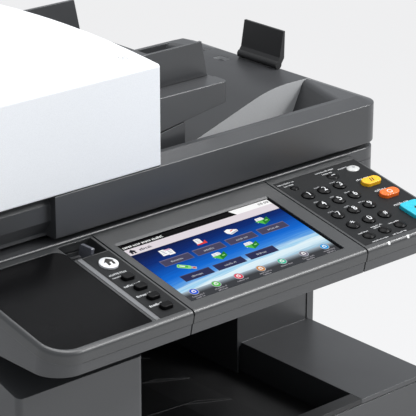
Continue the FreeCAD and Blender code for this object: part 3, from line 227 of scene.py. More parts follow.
def panel_frame():
    """Matrix from panel millimetres (u right, v up the slope, w out of the face) to metres."""
    axis = next(j["axis"] for j in frame["joints"] if j["name"] == "key_home_press")
    angle = math.atan2(axis[1], -axis[2])
    turn = Matrix.Rotation(angle, 4, "X")
    low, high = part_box("touch_screen")
    size = (high - low) / MM
    half_w = (size.z * math.cos(angle) - size.y * math.sin(angle)) / (2 * math.cos(2 * angle))
    centre = (low + high) / 2
    origin = centre + turn @ Vector((-SCREEN_U, 0, half_w - SCREEN_W)) * MM
    return Matrix.Translation(origin) @ turn @ Matrix.Scale(MM, 4)


PANEL = panel_frame()


def face_frame(origin, right, up):
    """Matrix from millimetres on a flat face of the machine to metres; origin in metres."""
    right, up = Vector(right).normalized(), Vector(up).normalized()
    out = right.cross(up)
    turn = Matrix((right, up, out)).transposed().to_4x4()
    return Matrix.Translation(Vector(origin)) @ turn @ Matrix.Scale(MM, 4)


# ---- plain shapes -------------------------------------------------------------------------
def rounded_rect(u0, u1, v0, v1, radius, steps=5):
    points = []
    for cu, cv, start in ((u1 - radius, v0 + radius, -90), (u1 - radius, v1 - radius, 0),
                          (u0 + radius, v1 - radius, 90), (u0 + radius, v0 + radius, 180)):
        for step in range(steps + 1):
            angle = math.radians(start + 90 * step / steps)
            points.append((cu + radius * math.cos(angle), cv + radius * math.sin(angle)))
    return points


def rect(u0, u1, v0, v1):
    return [(u0, v0), (u1, v0), (u1, v1), (u0, v1)]


def disc(u, v, radius, squash=1.0, steps=28):
    turns = [2 * math.pi * step / steps for step in range(steps)]
    return [(u + radius * math.cos(t), v + squash * radius * math.sin(t)) for t in turns]


def moved(points, u, v, size=1.0):
    return [(u + size * a, v + size * b) for a, b in points]


def make_object(name, mesh_builder, material, body, smooth=30):
    """New mesh piece from a bmesh, with outward faces, riding on a body."""
    bmesh.ops.recalc_face_normals(mesh_builder, faces=mesh_builder.faces)
    mesh = bpy.data.meshes.new(name)
    mesh_builder.to_mesh(mesh)
    mesh_builder.free()
    mesh.materials.append(material)
    piece = bpy.data.objects.new(name, mesh)
    bpy.context.scene.collection.objects.link(piece)
    mesh.shade_smooth()
    mesh.set_sharp_from_angle(angle=math.radians(smooth))
    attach(piece, body)
    return piece


class Layer:
    """Flat shapes of one colour on one face, made into thin closed plates in one piece."""

    def __init__(self, name, material, body, matrix, low, high, slot=None):
        self.name, self.material, self.body, self.slot = name, material, body, slot
        self.matrix, self.low, self.high = matrix, low, high
        self.mesh = bmesh.new()

    def shape(self, points, low=None, high=None):
        """One closed plate with the given outline."""
        low = self.low if low is None else low
        high = self.high if high is None else high
        lower = [self.mesh.verts.new(self.matrix @ Vector((u, v, low))) for u, v in points]
        upper = [self.mesh.verts.new(self.matrix @ Vector((u, v, high))) for u, v in points]
        self.mesh.faces.new(lower)
        self.mesh.faces.new(upper)
        for index in range(len(points)):
            after = (index + 1) % len(points)
            self.mesh.faces.new((lower[index], lower[after], upper[after], upper[index]))

    def ring(self, outer, inner, low=None, high=None):
        """Closed band between two outlines that have the same number of points."""
        low = self.low if low is None else low
        high = self.high if high is None else high
        rows = []
        for points, w in ((outer, low), (outer, high), (inner, high), (inner, low)):
            rows.append([self.mesh.verts.new(self.matrix @ Vector((u, v, w))) for u, v in points])
        for row, next_row in zip(rows, rows[1:] + rows[:1]):
            for index in range(len(outer)):
                after = (index + 1) % len(outer)
                self.mesh.faces.new((row[index], row[after], next_row[after], next_row[index]))

    def bar(self, start, end, width):
        """Straight stroke with square ends."""
        along = (Vector(end) - Vector(start)).normalized() * (width / 2)
        side = Vector((-along.y, along.x))
        a, b = Vector(start) - along, Vector(end) + along
        self.shape([tuple(a - side), tuple(b - side), tuple(b + side), tuple(a + side)])

    def words(self, u0, u1, v, height):
        """A row of unreadable letter-like marks, of thin strokes, that fills u0-u1."""
        u = u0
        letters = 0
        word = dice.randint(4, 8)
        thin = 0.17 * height
        while u < u1 - 0.3 * height:
            width = height * dice.choice((0.42, 0.5, 0.56))
            rise = height * dice.choice((0.74, 0.74, 1.0))
            end, foot = min(u + width, u1), v - height / 2
            levels = (foot, foot + rise - thin, foot + (rise - thin) / 2)
            self.shape(rect(u, u + thin, foot, foot + rise))
            closed = dice.random() < 0.4
            if closed:
                self.shape(rect(end - thin, end, foot, foot + rise))
            stop = end - thin if closed else end
            for level in dice.sample(levels, 2):
                self.shape(rect(u + thin, stop, level, level + thin))
            u = end + 0.22 * height
            letters += 1
            if letters == word:
                u += 0.4 * height
                letters = 0
                word = dice.randint(4, 8)

    def build(self):
        return make_object(self.name, self.mesh, self.material, self.body)


def lathe(mesh, profile, centre, axis, steps=24):
    """Add a closed solid of revolution; profile is (radius, height) from axis to axis, in mm."""
    axis = Vector(axis).normalized()
    side = axis.orthogonal().normalized()
    other = axis.cross(side)
    rings = []
    for radius, height in profile:
        base = Vector(centre) + axis * height * MM
        if radius == 0:
            rings.append([mesh.verts.new(base)])
            continue
        ring = []
        for step in range(steps):
            angle = 2 * math.pi * step / steps
            outward = side * math.cos(angle) + other * math.sin(angle)
            ring.append(mesh.verts.new(base + outward * radius * MM))
        rings.append(ring)
    for ring, following in zip(rings, rings[1:]):
        for step in range(steps):
            after = (step + 1) % steps
            corners = [ring[step % len(ring)], ring[after % len(ring)],
                       following[after % len(following)], following[step % len(following)]]
            unique = list(dict.fromkeys(corners))
            if len(unique) > 2:
                mesh.faces.new(unique)


# ---- materials of the CAD parts --------------------------------------------------------------
DARK = srgb(54, 55, 57)
PANEL_GREY = srgb(52, 53, 54)
finishes = {
    "dark_plastic": moulded("dark_moulding", DARK, edge_wear_and_highlight=4.2, Specular_IOR_Level=0.7),
    "panel_plastic": moulded("panel_moulding", PANEL_GREY, roughness=0.31, grain=0.09, edge_wear_and_highlight=3.8,
                             Specular_IOR_Level=0.7),
    # Pale grey of the delivery ramp's walls: partly their own tone, partly painted light, drawn lighter than
    # the ramp's top to stand in for the light on those walls.
    "grey_plastic": moulded("grey_moulding", srgb(186, 187, 188), roughness=0.40, edge_wear_and_highlight=1.1),
    "black_plastic": moulded("black_moulding", srgb(28, 28, 29), roughness=0.5),
    "gloss_black": polished("gloss_black", srgb(14, 14, 15), roughness=0.16, edge_wear_and_highlight=6.0,
                            Specular_IOR_Level=0.045),
    "white_plastic": moulded("white_moulding", srgb(229, 231, 234), roughness=0.36, grain=0.05, edge_wear_and_highlight=1.08,
                             cloud=0.012, edge_radius=0.0016),
    "white_pad": moulded("white_foam_sheet", srgb(226, 226, 222), roughness=0.8, grain=0.3, edge_wear_and_highlight=1.0,
                         cloud=0.02),
    "frame_steel": sheet_metal("zinc_steel", srgb(150, 152, 155)),
    "rubber": soft_rubber("black_rubber", srgb(26, 26, 27)),
    "platen_glass": clear_glass("platen_glass"),
    "lever_plastic": polished("smoke_plastic", srgb(98, 100, 108), roughness=0.25,
                              Transmission_Weight=0.12),
    "key_black": polished("key_black", srgb(13, 13, 14), roughness=0.24, edge_wear_and_highlight=2.0,
                          Specular_IOR_Level=0.1),
    "key_white": polished("key_white", srgb(226, 227, 229), roughness=0.22, edge_wear_and_highlight=1.05),
    "key_silver": polished("key_silver", srgb(196, 197, 196), roughness=0.24, edge_wear_and_highlight=1.1,
                           Transmission_Weight=0.1),
    "key_yellow": polished("key_yellow", srgb(232, 178, 28), roughness=0.2, edge_wear_and_highlight=1.15,
                           Subsurface_Weight=0.2, Subsurface_Radius=(0.004, 0.003, 0.001)),
    "key_orange": polished("key_orange", srgb(230, 106, 32), roughness=0.2, edge_wear_and_highlight=1.15,
                           Subsurface_Weight=0.2, Subsurface_Radius=(0.004, 0.002, 0.001)),
    "key_cyan": polished("key_cyan", srgb(36, 178, 200), roughness=0.2, edge_wear_and_highlight=1.1,
                         Subsurface_Weight=0.2, Subsurface_Radius=(0.001, 0.003, 0.004)),
}


def wallpaper(name):
    """The lit display: deep blue sky over a bright hazy horizon, with faint drifting streaks."""
    g = Graph(name)
    to_panel = PANEL.inverted()
    rows = []
    for row in to_panel[:2]:
        dot = g.add("ShaderNodeVectorMath", {0: g.place, 1: tuple(row[:3])}, operation="DOT_PRODUCT")
        rows.append(g.math("ADD", dot.outputs["Value"], row[3]))
    u, v = rows
    tilted = g.math("SUBTRACT", v, g.math("MULTIPLY", u, 0.075))
    bow = g.math("MULTIPLY", g.math("MULTIPLY", u, u), 0.00022)
    level = g.math("ADD", tilted, bow)
    drift = g.add("ShaderNodeCombineXYZ", {"X": g.math("MULTIPLY", u, 0.010),
                                           "Y": g.math("MULTIPLY", level, 0.16)})
    streak = g.add("ShaderNodeTexNoise", {"Vector": drift.outputs[0], "Scale": 3.0,
                                          "Detail": 4.0}).outputs["Fac"]
    share = g.add("ShaderNodeMapRange", {"Value": level, "From Min": -44.0, "From Max": 40.0})
    wavy = g.math("ADD", share.outputs["Result"], g.math("MULTIPLY", g.math("SUBTRACT", streak, 0.5), 0.13))
    ramp = g.add("ShaderNodeValToRGB", {"Fac": wavy})
    stops = ((0.00, (150, 190, 214)), (0.08, (214, 236, 246)), (0.15, (226, 242, 248)),
             (0.19, (150, 205, 238)), (0.23, (186, 220, 242)), (0.28, (96, 160, 226)),
             (0.35, (54, 132, 222)), (0.46, (10, 104, 208)), (0.64, (4, 74, 166)),
             (0.82, (3, 40, 112)), (1.00, (2, 20, 70)))
    elements = ramp.color_ramp.elements
    while len(elements) < len(stops):
        elements.new(0.5)
    for element, (position, colour) in zip(elements, stops):
        element.position = position
        element.color = srgb(*colour)
    g.set(Base_Color=(0.0, 0.0, 0.0, 1.0), Emission_Color=ramp.outputs["Color"], Emission_Strength=1.0,
          Roughness=g.spread(g.noise(30.0, 4.0), 0.2, 0.3), Specular_IOR_Level=0.02)
    return g.material


finishes["display"] = wallpaper("display_wallpaper")

for cad in NODES.values():
    for slot in cad.material_slots:
        slot.material = finishes[slot.material.name.split(".")[0]]


# ---- the lit display ----------------------------------------------------------------------------
def lit(name, red, green, blue):
    return printed(name, srgb(red, green, blue), roughness=0.2, glow=1.0)


LIT = {
    "black": lit("lit_black", 4, 4, 6),
    "lilac": lit("lit_lilac", 226, 218, 224),
    "white": lit("lit_white", 252, 252, 252),
    "slate": lit("lit_slate", 70, 68, 96),
    "slate_light": lit("lit_slate_light", 112, 108, 136),
    "navy": lit("lit_navy", 44, 48, 84),
    "dim": lit("lit_dim", 158, 156, 162),
    "floor": lit("lit_floor", 62, 64, 68),
    "shade": lit("lit_shade", 176, 180, 190),
    "pink": lit("lit_pink", 216, 128, 190),
    "red": lit("lit_red", 232, 64, 50),
    "green": lit("lit_green", 84, 190, 74),
    "deep_green": lit("lit_deep_green", 36, 128, 44),
    "lime": lit("lit_lime", 150, 226, 130),
    "ink": lit("lit_ink", 24, 24, 34),
    "blue": lit("lit_blue", 28, 84, 214),
    "coral": lit("lit_coral", 226, 70, 92),
    "tan": lit("lit_tan", 204, 138, 74),
    "teal": lit("lit_teal", 70, 190, 156),
    "grey": lit("lit_grey", 128, 122, 136),
    "sky": lit("lit_sky", 30, 158, 226),
}

LIFT = 0.06             # step between two printed or lit layers
screen_layers = {}


def lit_layer(level, colour):
    """Layer of one lit colour at a height of level steps over the display."""
    key = f"screen_{level}_{colour}"
    if key not in screen_layers:
        base = SCREEN_W + level * LIFT
        screen_layers[key] = Layer(key, LIT[colour], "panel", PANEL, base - 0.5 * LIFT, base + 0.5 * LIFT,
                                   "display")
    return screen_layers[key]


LEFT_U, RIGHT_U = SCREEN_U - SCREEN_HALF_U, SCREEN_U + SCREEN_HALF_U
HOUSE = [(-5, 0), (0, 4.6), (5, 0), (3.4, 0), (3.4, -4.4), (0.9, -4.4), (0.9, -1.4), (-0.9, -1.4),
         (-0.9, -4.4), (-3.4, -4.4), (-3.4, 0)]


def screen_bars():
    """Message bar, title bar and clock along the top of the display."""
    black = lit_layer(1, "black")
    black.shape(rect(LEFT_U, RIGHT_U, 47.2, SCREEN_HALF_V))
    title = lit_layer(1, "lilac")
    title.shape(rect(LEFT_U, RIGHT_U, 36.3, 47.2))
    clock = lit_layer(2, "white")
    clock.shape([(43, 56.0), (47.5, 47.2), (RIGHT_U, 47.2), (RIGHT_U, 56.0)])
    lit_layer(2, "white").words(LEFT_U + 3, -46, 51.0, 3.4)
    house = lit_layer(2, "ink")
    house.shape(moved(HOUSE, -92.5, 41.8, 0.85))
    house.words(-84, -69, 41.6, 3.6)
    digits = lit_layer(3, "ink")
    foot, height = 50.4, 3.0
    for column in range(4):
        u = 80.6 + column * 3.3 + (1.2 if column > 1 else 0)
        digits.ring(rounded_rect(u, u + 2.3, foot, foot + height, 0.6),
                    rounded_rect(u + 0.6, u + 1.7, foot + 0.6, foot - 0.6 + height, 0.3))


def page(u, v, size, lean=0.0, colour="white", level=2):
    """Sheet of paper with two or three lines on it."""
    outline = [(-3, -4), (3, -4), (3, 2.6), (1.6, 4), (-3, 4)]
    lit_layer(level, colour).shape([(u + size * (a + lean * b), v + size * b) for a, b in outline])
    lines = lit_layer(level + 1, "shade")
    for step in range(3):
        b = 1.8 - step * 1.9
        lines.shape([(u + size * (a + lean * b), v + size * (b + c))
                     for a, c in ((-2, 0), (2, 0), (2, 0.7), (-2, 0.7))])


def folder(u, v):
    """Box icon with sheets standing in it."""
    page(u - 3.4, v + 2.6, 0.95, 0.2)
    page(u + 1.6, v + 3.2, 0.85, -0.1)
    lit_layer(4, "green").shape([(u - 8.4, v + 1.6), (u - 1.4, v - 6.6), (u + 8.4, v - 2.4),
                                 (u + 9.4, v + 5.0), (u + 2.4, v + 1.6)])
    lit_layer(5, "deep_green").shape([(u - 1.4, v - 6.6), (u + 8.4, v - 2.4), (u + 9.4, v + 5.0),
                                      (u + 0.2, v + 0.4)])
    lit_layer(6, "lime").shape(moved(rounded_rect(-1.8, 1.8, -0.7, 0.7, 0.5, 3), u + 4.6, v - 0.6))


def icon_pages(u, v):
    page(u - 3.2, v + 0.6, 1.25, 0.1)
    page(u + 3.6, v - 0.6, 1.25, 0.1, "white", 4)
    lit_layer(6, "pink").shape(moved(rect(-3, 3, 3.4, 4.6), u + 3.2, v - 0.6))


def icon_send(u, v):
    page(u - 0.8, v + 0.6, 1.2, 0.1)
    lit_layer(4, "red").shape([(u - 6, v - 5.2), (u + 6.4, v - 5.2), (u + 6.4, v + 0.4), (u + 3.6, v - 2.6),
                               (u - 6, v - 3.6)])


def icon_fax(u, v):
    lit_layer(2, "white").shape([(u - 7, v - 1.6), (u - 3.4, v - 5.2), (u + 7, v - 2.4), (u + 7.4, v + 0.4),
                                 (u - 1.8, v + 4.8), (u - 7, v + 3.0)])
    lit_layer(3, "shade").shape([(u - 3.2, v - 4.6), (u + 6.6, v - 2.0), (u + 6.8, v - 0.6),
                                 (u - 3.0, v - 3.0)])
    lit_layer(3, "red").bar((u - 0.8, v + 0.4), (u + 2.6, v + 1.4), 1.1)


def icon_stick(u, v):
    def leaning(points):
        turn = math.radians(-38)
        return [(u + a * math.cos(turn) - b * math.sin(turn), v + a * math.sin(turn) + b * math.cos(turn))
                for a, b in points]
    lit_layer(2, "lime").shape(leaning(rounded_rect(-10.0, 4.0, -3.0, 3.0, 1.6, 3)))
    lit_layer(3, "green").shape(leaning(rounded_rect(-8.6, 1.0, -1.4, 2.0, 0.8, 3)))
    lit_layer(4, "white").shape(leaning(rounded_rect(-7.6, -2.0, -0.4, 1.2, 0.5, 3)))
    lit_layer(2, "shade").shape(leaning(rect(4.0, 9.4, -2.2, 2.2)))
    lit_layer(3, "red").shape(leaning(rect(5.8, 8.2, -1.0, 1.0)))


TILE_COLUMNS = (-63.2, -21.6, 20.4, 62.5)
TILE_ROWS = (9.8, -20.9)
TILE_ICONS = ((icon_pages, icon_send, icon_fax, folder), (icon_stick, folder, folder))


def screen_tiles():
    """Function tiles, each with its icon above it."""
    for v, icons in zip(TILE_ROWS, TILE_ICONS):
        for u, icon in zip(TILE_COLUMNS, icons):
            edge, face = ("slate_light", "slate") if icons is TILE_ICONS[0] else ("slate", "navy")
            lit_layer(1, edge).shape(rect(u - 18.3, u + 18.3, v - 5.3, v + 5.3))
            lit_layer(2, face).shape(rect(u - 17.8, u + 17.8, v - 4.9, v + 4.2))
            lit_layer(3, "shade").words(u - 7.5, u + 7.5, v - 0.6, 2.6)
            icon(u, v + 15.2)


DOCK = ((-86.4, "blue"), (-58.4, "green"), (-29.8, "coral"), (-1.0, "tan"), (27.1, "teal"),
        (56.2, "grey"), (84.5, "sky"))


def screen_dock():
    """Round shortcut buttons over the dark strip at the foot of the display."""
    steps = 7
    for step in range(steps):
        top = -46.2 + step * 1.1
        name = f"screen_fade_{step}"
        share = 1 - step / steps
        tone = printed(name, srgb(62 + 120 * (1 - share), 64 + 136 * (1 - share), 68 + 146 * (1 - share)),
                       roughness=0.2, glow=1.0)
        upper = SCREEN_W + LIFT * (0.9 - 0.08 * step)
        strip = Layer(name, tone, "panel", PANEL, SCREEN_W - 0.02, upper, "display")
        strip.shape(rect(LEFT_U, RIGHT_U, -SCREEN_HALF_V if step == 0 else top - 1.1, top))
        strip.build()
    for u, colour in DOCK:
        v = -43.0
        lit_layer(2, "shade").ring(disc(u, v, 5.1), disc(u, v, 4.4))
        lit_layer(2, colour).shape(disc(u, v, 4.4))
        lit_layer(3, "white").ring(rounded_rect(u - 2.2, u + 2.2, v - 1.7, v + 1.7, 0.8, 3),
                                   rounded_rect(u - 1.4, u + 1.4, v - 0.9, v + 0.9, 0.5, 3))
        lit_layer(3, "white").bar((u - 0.9, v + 2.3), (u + 1.6, v + 2.5), 0.7)
        words = lit_layer(2, "dim")
        words.words(u - 7.5, u + 7.5, -50.0, 2.1)
        if colour not in ("coral", "teal"):
            words.words(u - 5.5, u + 5.5, -53.2, 2.1)


def screen_border():
    """Painted shade: a black band round the picture, wider on the right, standing up to the edge of the
    window, in place of the dark recessed inner side of the window and its shadow.
    """
    edge_shade = Layer("screen_border", LIT["black"], "panel", PANEL, SCREEN_W - 0.1, SCREEN_W + 0.75, "display")
    edge_shade.ring(rect(LEFT_U, RIGHT_U, -SCREEN_HALF_V, SCREEN_HALF_V),
                rect(LEFT_U + 0.6, RIGHT_U - 2.6, -SCREEN_HALF_V + 0.5, SCREEN_HALF_V - 0.4))
    edge_shade.build()


screen_bars()
screen_tiles()
screen_dock()
screen_border()
for layer in screen_layers.values():
    layer.build()


# ---- printing on the panel ----------------------------------------------------------------------
INK = printed("label_ink", srgb(206, 207, 208), roughness=0.6)
DIM_INK = printed("dim_ink", srgb(150, 151, 153), roughness=0.6)
DARK_INK = printed("dark_ink", srgb(30, 28, 24), roughness=0.6)
PRINT_W = (FACE_W, FACE_W + 0.12)


def panel_labels():
    """Unreadable captions beside the keys, as wide and high as the printed words."""
    labels = Layer("panel_labels", INK, "panel", PANEL, *PRINT_W, "panel_plastic")
    captions = (
        (122.7, 146.5, 69.0, 2.3), (128.0, 141.0, 64.5, 2.3), (177.0, 205.0, 69.4, 2.3),
        (183.0, 197.0, 64.7, 2.3), (206.7, 220.8, 65.4, 2.3), (208.0, 226.4, 38.3, 3.6),
        (209.7, 225.8, 11.8, 3.6), (206.6, 227.3, -19.3, 3.8), (131.0, 145.0, -43.8, 2.2),
        (151.8, 167.9, -40.6, 2.2), (153.0, 162.5, -43.2, 2.2), (173.6, 189.0, -43.8, 2.2),
        (132.9, 156.4, -62.2, 2.0), (162.0, 182.0, -62.2, 2.0),
        (-142.0, -121.0, 15.8, 3.4), (-142.0, -123.0, 10.6, 2.4), (-142.0, -122.0, -6.6, 3.6),
        (-142.0, -122.0, -25.8, 3.6), (-142.0, -126.0, -44.6, 3.6),
    )
    for u0, u1, v, height in captions:
        labels.words(u0, u1, v, 0.82 * height)
    letters = ((155.0, 162.7, 47.2), (177.5, 185.3, 47.5), (134.0, 140.5, 25.0), (156.7, 163.2, 25.0),
               (177.6, 185.7, 25.0), (132.7, 142.0, 3.0), (155.6, 163.7, 3.0), (176.3, 186.5, 3.0))
    small = Layer("key_letters", DIM_INK, "panel", PANEL, *PRINT_W, "panel_plastic")
    for u0, u1, v in letters:
        small.words(u0, u1, v, 2.2)
    labels.build()
    small.build()


def lettering(text, size):
    """Flat filled outline of generic characters in millimetres, centred on the origin."""
    curve = bpy.data.curves.new("lettering", "FONT")
    curve.body = text
    curve.size = size
    curve.offset = size * 0.008
    curve.align_x = "CENTER"
    curve.align_y = "CENTER"
    curve.resolution_u = 4
    holder = bpy.data.objects.new("lettering", curve)
    bpy.context.scene.collection.objects.link(holder)
    bpy.context.view_layer.update()
    mesh = bpy.data.meshes.new_from_object(holder.evaluated_get(bpy.context.evaluated_depsgraph_get()))
    bpy.data.objects.remove(holder)
    flat = bmesh.new()
    flat.from_mesh(mesh)
    bpy.data.meshes.remove(mesh)
    bmesh.ops.remove_doubles(flat, verts=flat.verts, dist=0.01)
    return flat


def outline_mesh(shapes):
    """Flat mesh of several outlines in millimetres."""
    flat = bmesh.new()
    for points in shapes:
        flat.faces.new([flat.verts.new((a, b, 0)) for a, b in points])
    return flat


def band_mesh(outer, inner):
    """Flat mesh of the band between two outlines that have the same number of points."""
    flat = bmesh.new()
    rows = [[flat.verts.new((a, b, 0)) for a, b in points] for points in (outer, inner)]
    for index in range(len(outer)):
        after = (index + 1) % len(outer)
        flat.faces.new((rows[0][index], rows[0][after], rows[1][after], rows[1][index]))
    return flat


def key_centre(key):
    """(u, v) of the middle of a key's cap."""
    low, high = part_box(key)
    middle = PANEL.inverted() @ ((low + high) / 2)
    return middle.x, middle.y


def thicken(name, flat, place, material, body):
    """Closed piece over a flat mesh; place(u, v) gives its lower and upper points in metres."""
    solid = bmesh.new()
    top, bottom = {}, {}
    for vertex in flat.verts:
        low, high = place(vertex.co.x, vertex.co.y)
        bottom[vertex.index] = solid.verts.new(low)
        top[vertex.index] = solid.verts.new(high)
    for face in flat.faces:
        corners = [vertex.index for vertex in face.verts]
        solid.faces.new([top[i] for i in corners])
        solid.faces.new([bottom[i] for i in reversed(corners)])
    for edge in flat.edges:
        if len(edge.link_faces) == 1:
            a, b = (vertex.index for vertex in edge.verts)
            solid.faces.new((top[a], top[b], bottom[b], bottom[a]))
    flat.free()
    return make_object(name, solid, material, body)


def stamp(name, flat, matrix, height, material, body):
    """Flat mesh standing height millimetres out of one flat face."""
    flat.verts.index_update()

    def place(u, v):
        return matrix @ Vector((u, v, -0.3)), matrix @ Vector((u, v, height))
    return thicken(name, flat, place, material, body)


def drape(name, flat, node, u, v, material, slot, matrix=PANEL, body=None):
    """Lay a flat mesh on a curved part, seen down the matrix's third axis, as a thin closed inlay."""
    from_metres = matrix.inverted()
    cad = NODES[node].data
    tree = BVHTree.FromPolygons([from_metres @ vertex.co for vertex in cad.vertices],
                                [list(polygon.vertices) for polygon in cad.polygons])
    bmesh.ops.triangulate(flat, faces=flat.faces)
    bmesh.ops.subdivide_edges(flat, edges=flat.edges, cuts=4, use_grid_fill=True)
    flat.verts.index_update()

    def place(a, b):
        hit = tree.ray_cast(Vector((u + a, v + b, 900.0)), Vector((0, 0, -1)))[0]
        level = hit.z if hit else FACE_W
        return matrix @ Vector((u + a, v + b, level - 0.25)), matrix @ Vector((u + a, v + b, level + 0.1))
    return thicken(name, flat, place, material, body or node)


def key_legends():
    """Digits and plain symbols on the caps."""
    def legend(name, flat, key, material, slot):
        drape(name, flat, key, *key_centre(key), material, slot)
    for digit in "0123456789":
        legend(f"digit_{digit}", lettering(digit, 10.2), f"key_{digit}", INK, "key_black")
    legend("symbol_star", lettering("*", 12.0), "key_star", INK, "key_black")
    legend("symbol_hash", lettering("#", 8.0), "key_hash", INK, "key_black")
    legend("home_symbol", outline_mesh([moved(HOUSE, 0, 0, 1.25)]), "key_home", DARK_INK, "key_white")
    slashes = [[(-2.6, -3), (-1.2, -3), (0.6, 3), (-0.8, 3)], [(0.4, -3), (1.8, -3), (3.6, 3), (2.2, 3)]]
    legend("reset_symbol", outline_mesh(slashes), "key_reset", DARK_INK, "key_yellow")
    circle = band_mesh(disc(0, 0, 3.2, 1, 20), disc(0, 0, 2.2, 1, 20))
    legend("stop_symbol", circle, "key_stop", INK, "key_orange")
    diamond = outline_mesh([[(0, -3.4), (3.0, 0), (0, 3.4), (-3.0, 0)]])
    legend("start_symbol", diamond, "key_start", DARK_INK, "key_cyan")
    legend("logout_symbol", outline_mesh([rect(-2.6, 2.6, -0.5, 0.5)]), "key_logout", INK, "key_black")
    legend("saver_symbol", outline_mesh([disc(0, 0, 2.0, 1, 16)]), "key_energy_saver", DIM_INK, "key_silver")


def indicator_lamps():
    """Two lenses that follow the rounded front edge of the right panel section."""
    lens = polished("lamp_lens", srgb(232, 234, 232), roughness=0.12, edge_wear_and_highlight=1.1)
    lamps = bmesh.new()
    turns = [math.radians(25 + 5 * step) for step in range(10)]
    middle_v, middle_w = PANEL_FRONT_V + PANEL_EDGE_RADIUS, FACE_W - PANEL_EDGE_RADIUS
    section = []
    for radius, arc in ((PANEL_EDGE_RADIUS + 0.1, turns), (PANEL_EDGE_RADIUS - 0.5, turns[::-1])):
        section += [(middle_v - radius * math.cos(t), middle_w + radius * math.sin(t)) for t in arc]
    last = len(section) - 1
    for middle in (148.3, 175.6):
        ends = []
        for side in (-1.4, 1.4):
            ends.append([lamps.verts.new(PANEL @ Vector((middle + side, v, w))) for v, w in section])
        for index in range(len(section)):
            after = (index + 1) % len(section)
            lamps.faces.new((ends[0][index], ends[0][after], ends[1][after], ends[1][index]))
        for end in ends:
            for index in range(len(turns) - 1):
                lamps.faces.new((end[index], end[index + 1], end[last - 1 - index], end[last - index]))
    make_object("indicator_lamps", lamps, lens, "panel")


panel_labels()
key_legends()
indicator_lamps()


# ---- fittings on the machine ----------------------------------------------------------------------
MACHINE = Matrix.Scale(MM, 4)
FRONT = ((1, 0, 0), (0, 0, 1))          # right and up as seen from each side
BACK = ((-1, 0, 0), (0, 0, 1))
RIGHT_SIDE = ((0, 1, 0), (0, 0, 1))
TOP = ((1, 0, 0), (0, 1, 0))
GOLD = sheet_metal("contact_gold", srgb(214, 176, 96), roughness=0.25)


def corner(node, x, y, z):
    """Point of a part's box in metres; each share runs from 0 at the low end to 1 at the high end."""
    low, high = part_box(node)
    return Vector([a + (b - a) * share for a, b, share in zip(low, high, (x, y, z))])


def skin(name, node, keep, thickness, material, body):
    """Thin closed skin over the faces of a CAD part that pass the test."""
    cad = NODES[node].data
    faces = [polygon for polygon in cad.polygons if keep(polygon.normal, polygon.center)]
    places, normals = {}, {}
    for polygon in faces:
        for index in polygon.vertices:
            spot = tuple(round(value, 6) for value in cad.vertices[index].co)
            places[index] = spot
            normals[spot] = normals.get(spot, Vector()) + polygon.normal * polygon.area
    solid = bmesh.new()
    outer, inner = {}, {}
    for spot, normal in normals.items():
        lift = normal.normalized() * thickness * MM
        outer[spot] = solid.verts.new(Vector(spot) + lift)
        inner[spot] = solid.verts.new(Vector(spot) - lift)
    sides = {}
    for polygon in faces:
        spots = list(dict.fromkeys(places[index] for index in polygon.vertices))
        if len(spots) < 3:
            continue
        solid.faces.new([outer[spot] for spot in spots])
        solid.faces.new([inner[spot] for spot in reversed(spots)])
        for a, b in zip(spots, spots[1:] + spots[:1]):
            if (b, a) in sides:
                del sides[(b, a)]
            else:
                sides[(a, b)] = True
    for a, b in sides:
        solid.faces.new((outer[a], outer[b], inner[b], inner[a]))
    return make_object(name, solid, material, body)


def panel_patch(u0, u1, v0, v1):
    """Test that keeps the upward faces of the panel inside a rectangle of its own frame."""
    up = (PANEL.to_3x3() @ Vector((0, 0, 1))).normalized()
    to_panel = PANEL.inverted()

    def keep(normal, centre):
        spot = to_panel @ centre
        return normal.dot(up) > 0.99 and u0 < spot.x < u1 and v0 < spot.y < v1
    return keep


def panel_sheets():
    """Darker printed sheets round the keys, a paler ridge, black rings of painted shade in the grooves round
    the sheets, and rubber in the joints of the plates.
    """
    sheet = moulded("key_sheet", srgb(32, 33, 34), roughness=0.42, grain=0.05, edge_wear_and_highlight=1.5,
                    Specular_IOR_Level=0.12)
    skin("keypad_sheet", "keypad_cover", panel_patch(121.6, 238.4, -63.6, 74.0), 0.05, sheet, "panel")
    skin("column_sheet", "panel_left_cover", panel_patch(-145.0, -114.0, -64.6, 52.4), 0.05, sheet, "panel")
    ridge = moulded("ridge_edge", srgb(104, 105, 107), roughness=0.4, edge_wear_and_highlight=1.3)
    skin("column_ridge", "panel_left_cover", panel_patch(-152.8, -146.2, -66.0, 54.0), 0.05, ridge, "panel")
    # Painted shade: black rings in the grooves round the two key sheets, standing in for the shadow in those
    # grooves.
    groove_shade = printed("groove_shade_ink", srgb(7, 7, 8), roughness=0.9)
    outline = Layer("groove_shade_rings", groove_shade, "panel", PANEL, FACE_W - 0.5, FACE_W + 0.08, "rubber")
    for u0, u1, v0, v1 in ((121.1, 238.9, -64.1, 74.5), (-145.6, -113.5, -65.1, 52.9)):
        outline.ring(rect(u0, u1, v0, v1), rect(u0 + 0.9, u1 - 0.9, v0 + 0.9, v1 - 0.9))
    outline.build()
    joints = Layer("plate_joints", finishes["rubber"], "panel", PANEL, -4.0, -1.0, "rubber")
    for u0, u1 in PLATE_SEAMS:
        joints.shape(rect(u0, u1, -70.0, 76.0))
    joints.build()
    upright = Matrix.Rotation(math.radians(90), 4, "X")
    front_edge = PANEL @ Matrix.Translation((0, PANEL_FRONT_V, 0)) @ upright
    ends = Layer("plate_joint_ends", finishes["rubber"], "panel", front_edge, -2.3, -0.3, "rubber")
    for u0, u1 in PLATE_SEAMS:
        ends.shape(rect(u0, u1, -12.0, -3.6))
    ends.build()
    line = Layer("housing_joint", finishes["rubber"], "panel", front_edge, -1.5, -0.1, "rubber")
    line.shape(rect(-240, 236, -12.45, -11.9))
    line.build()


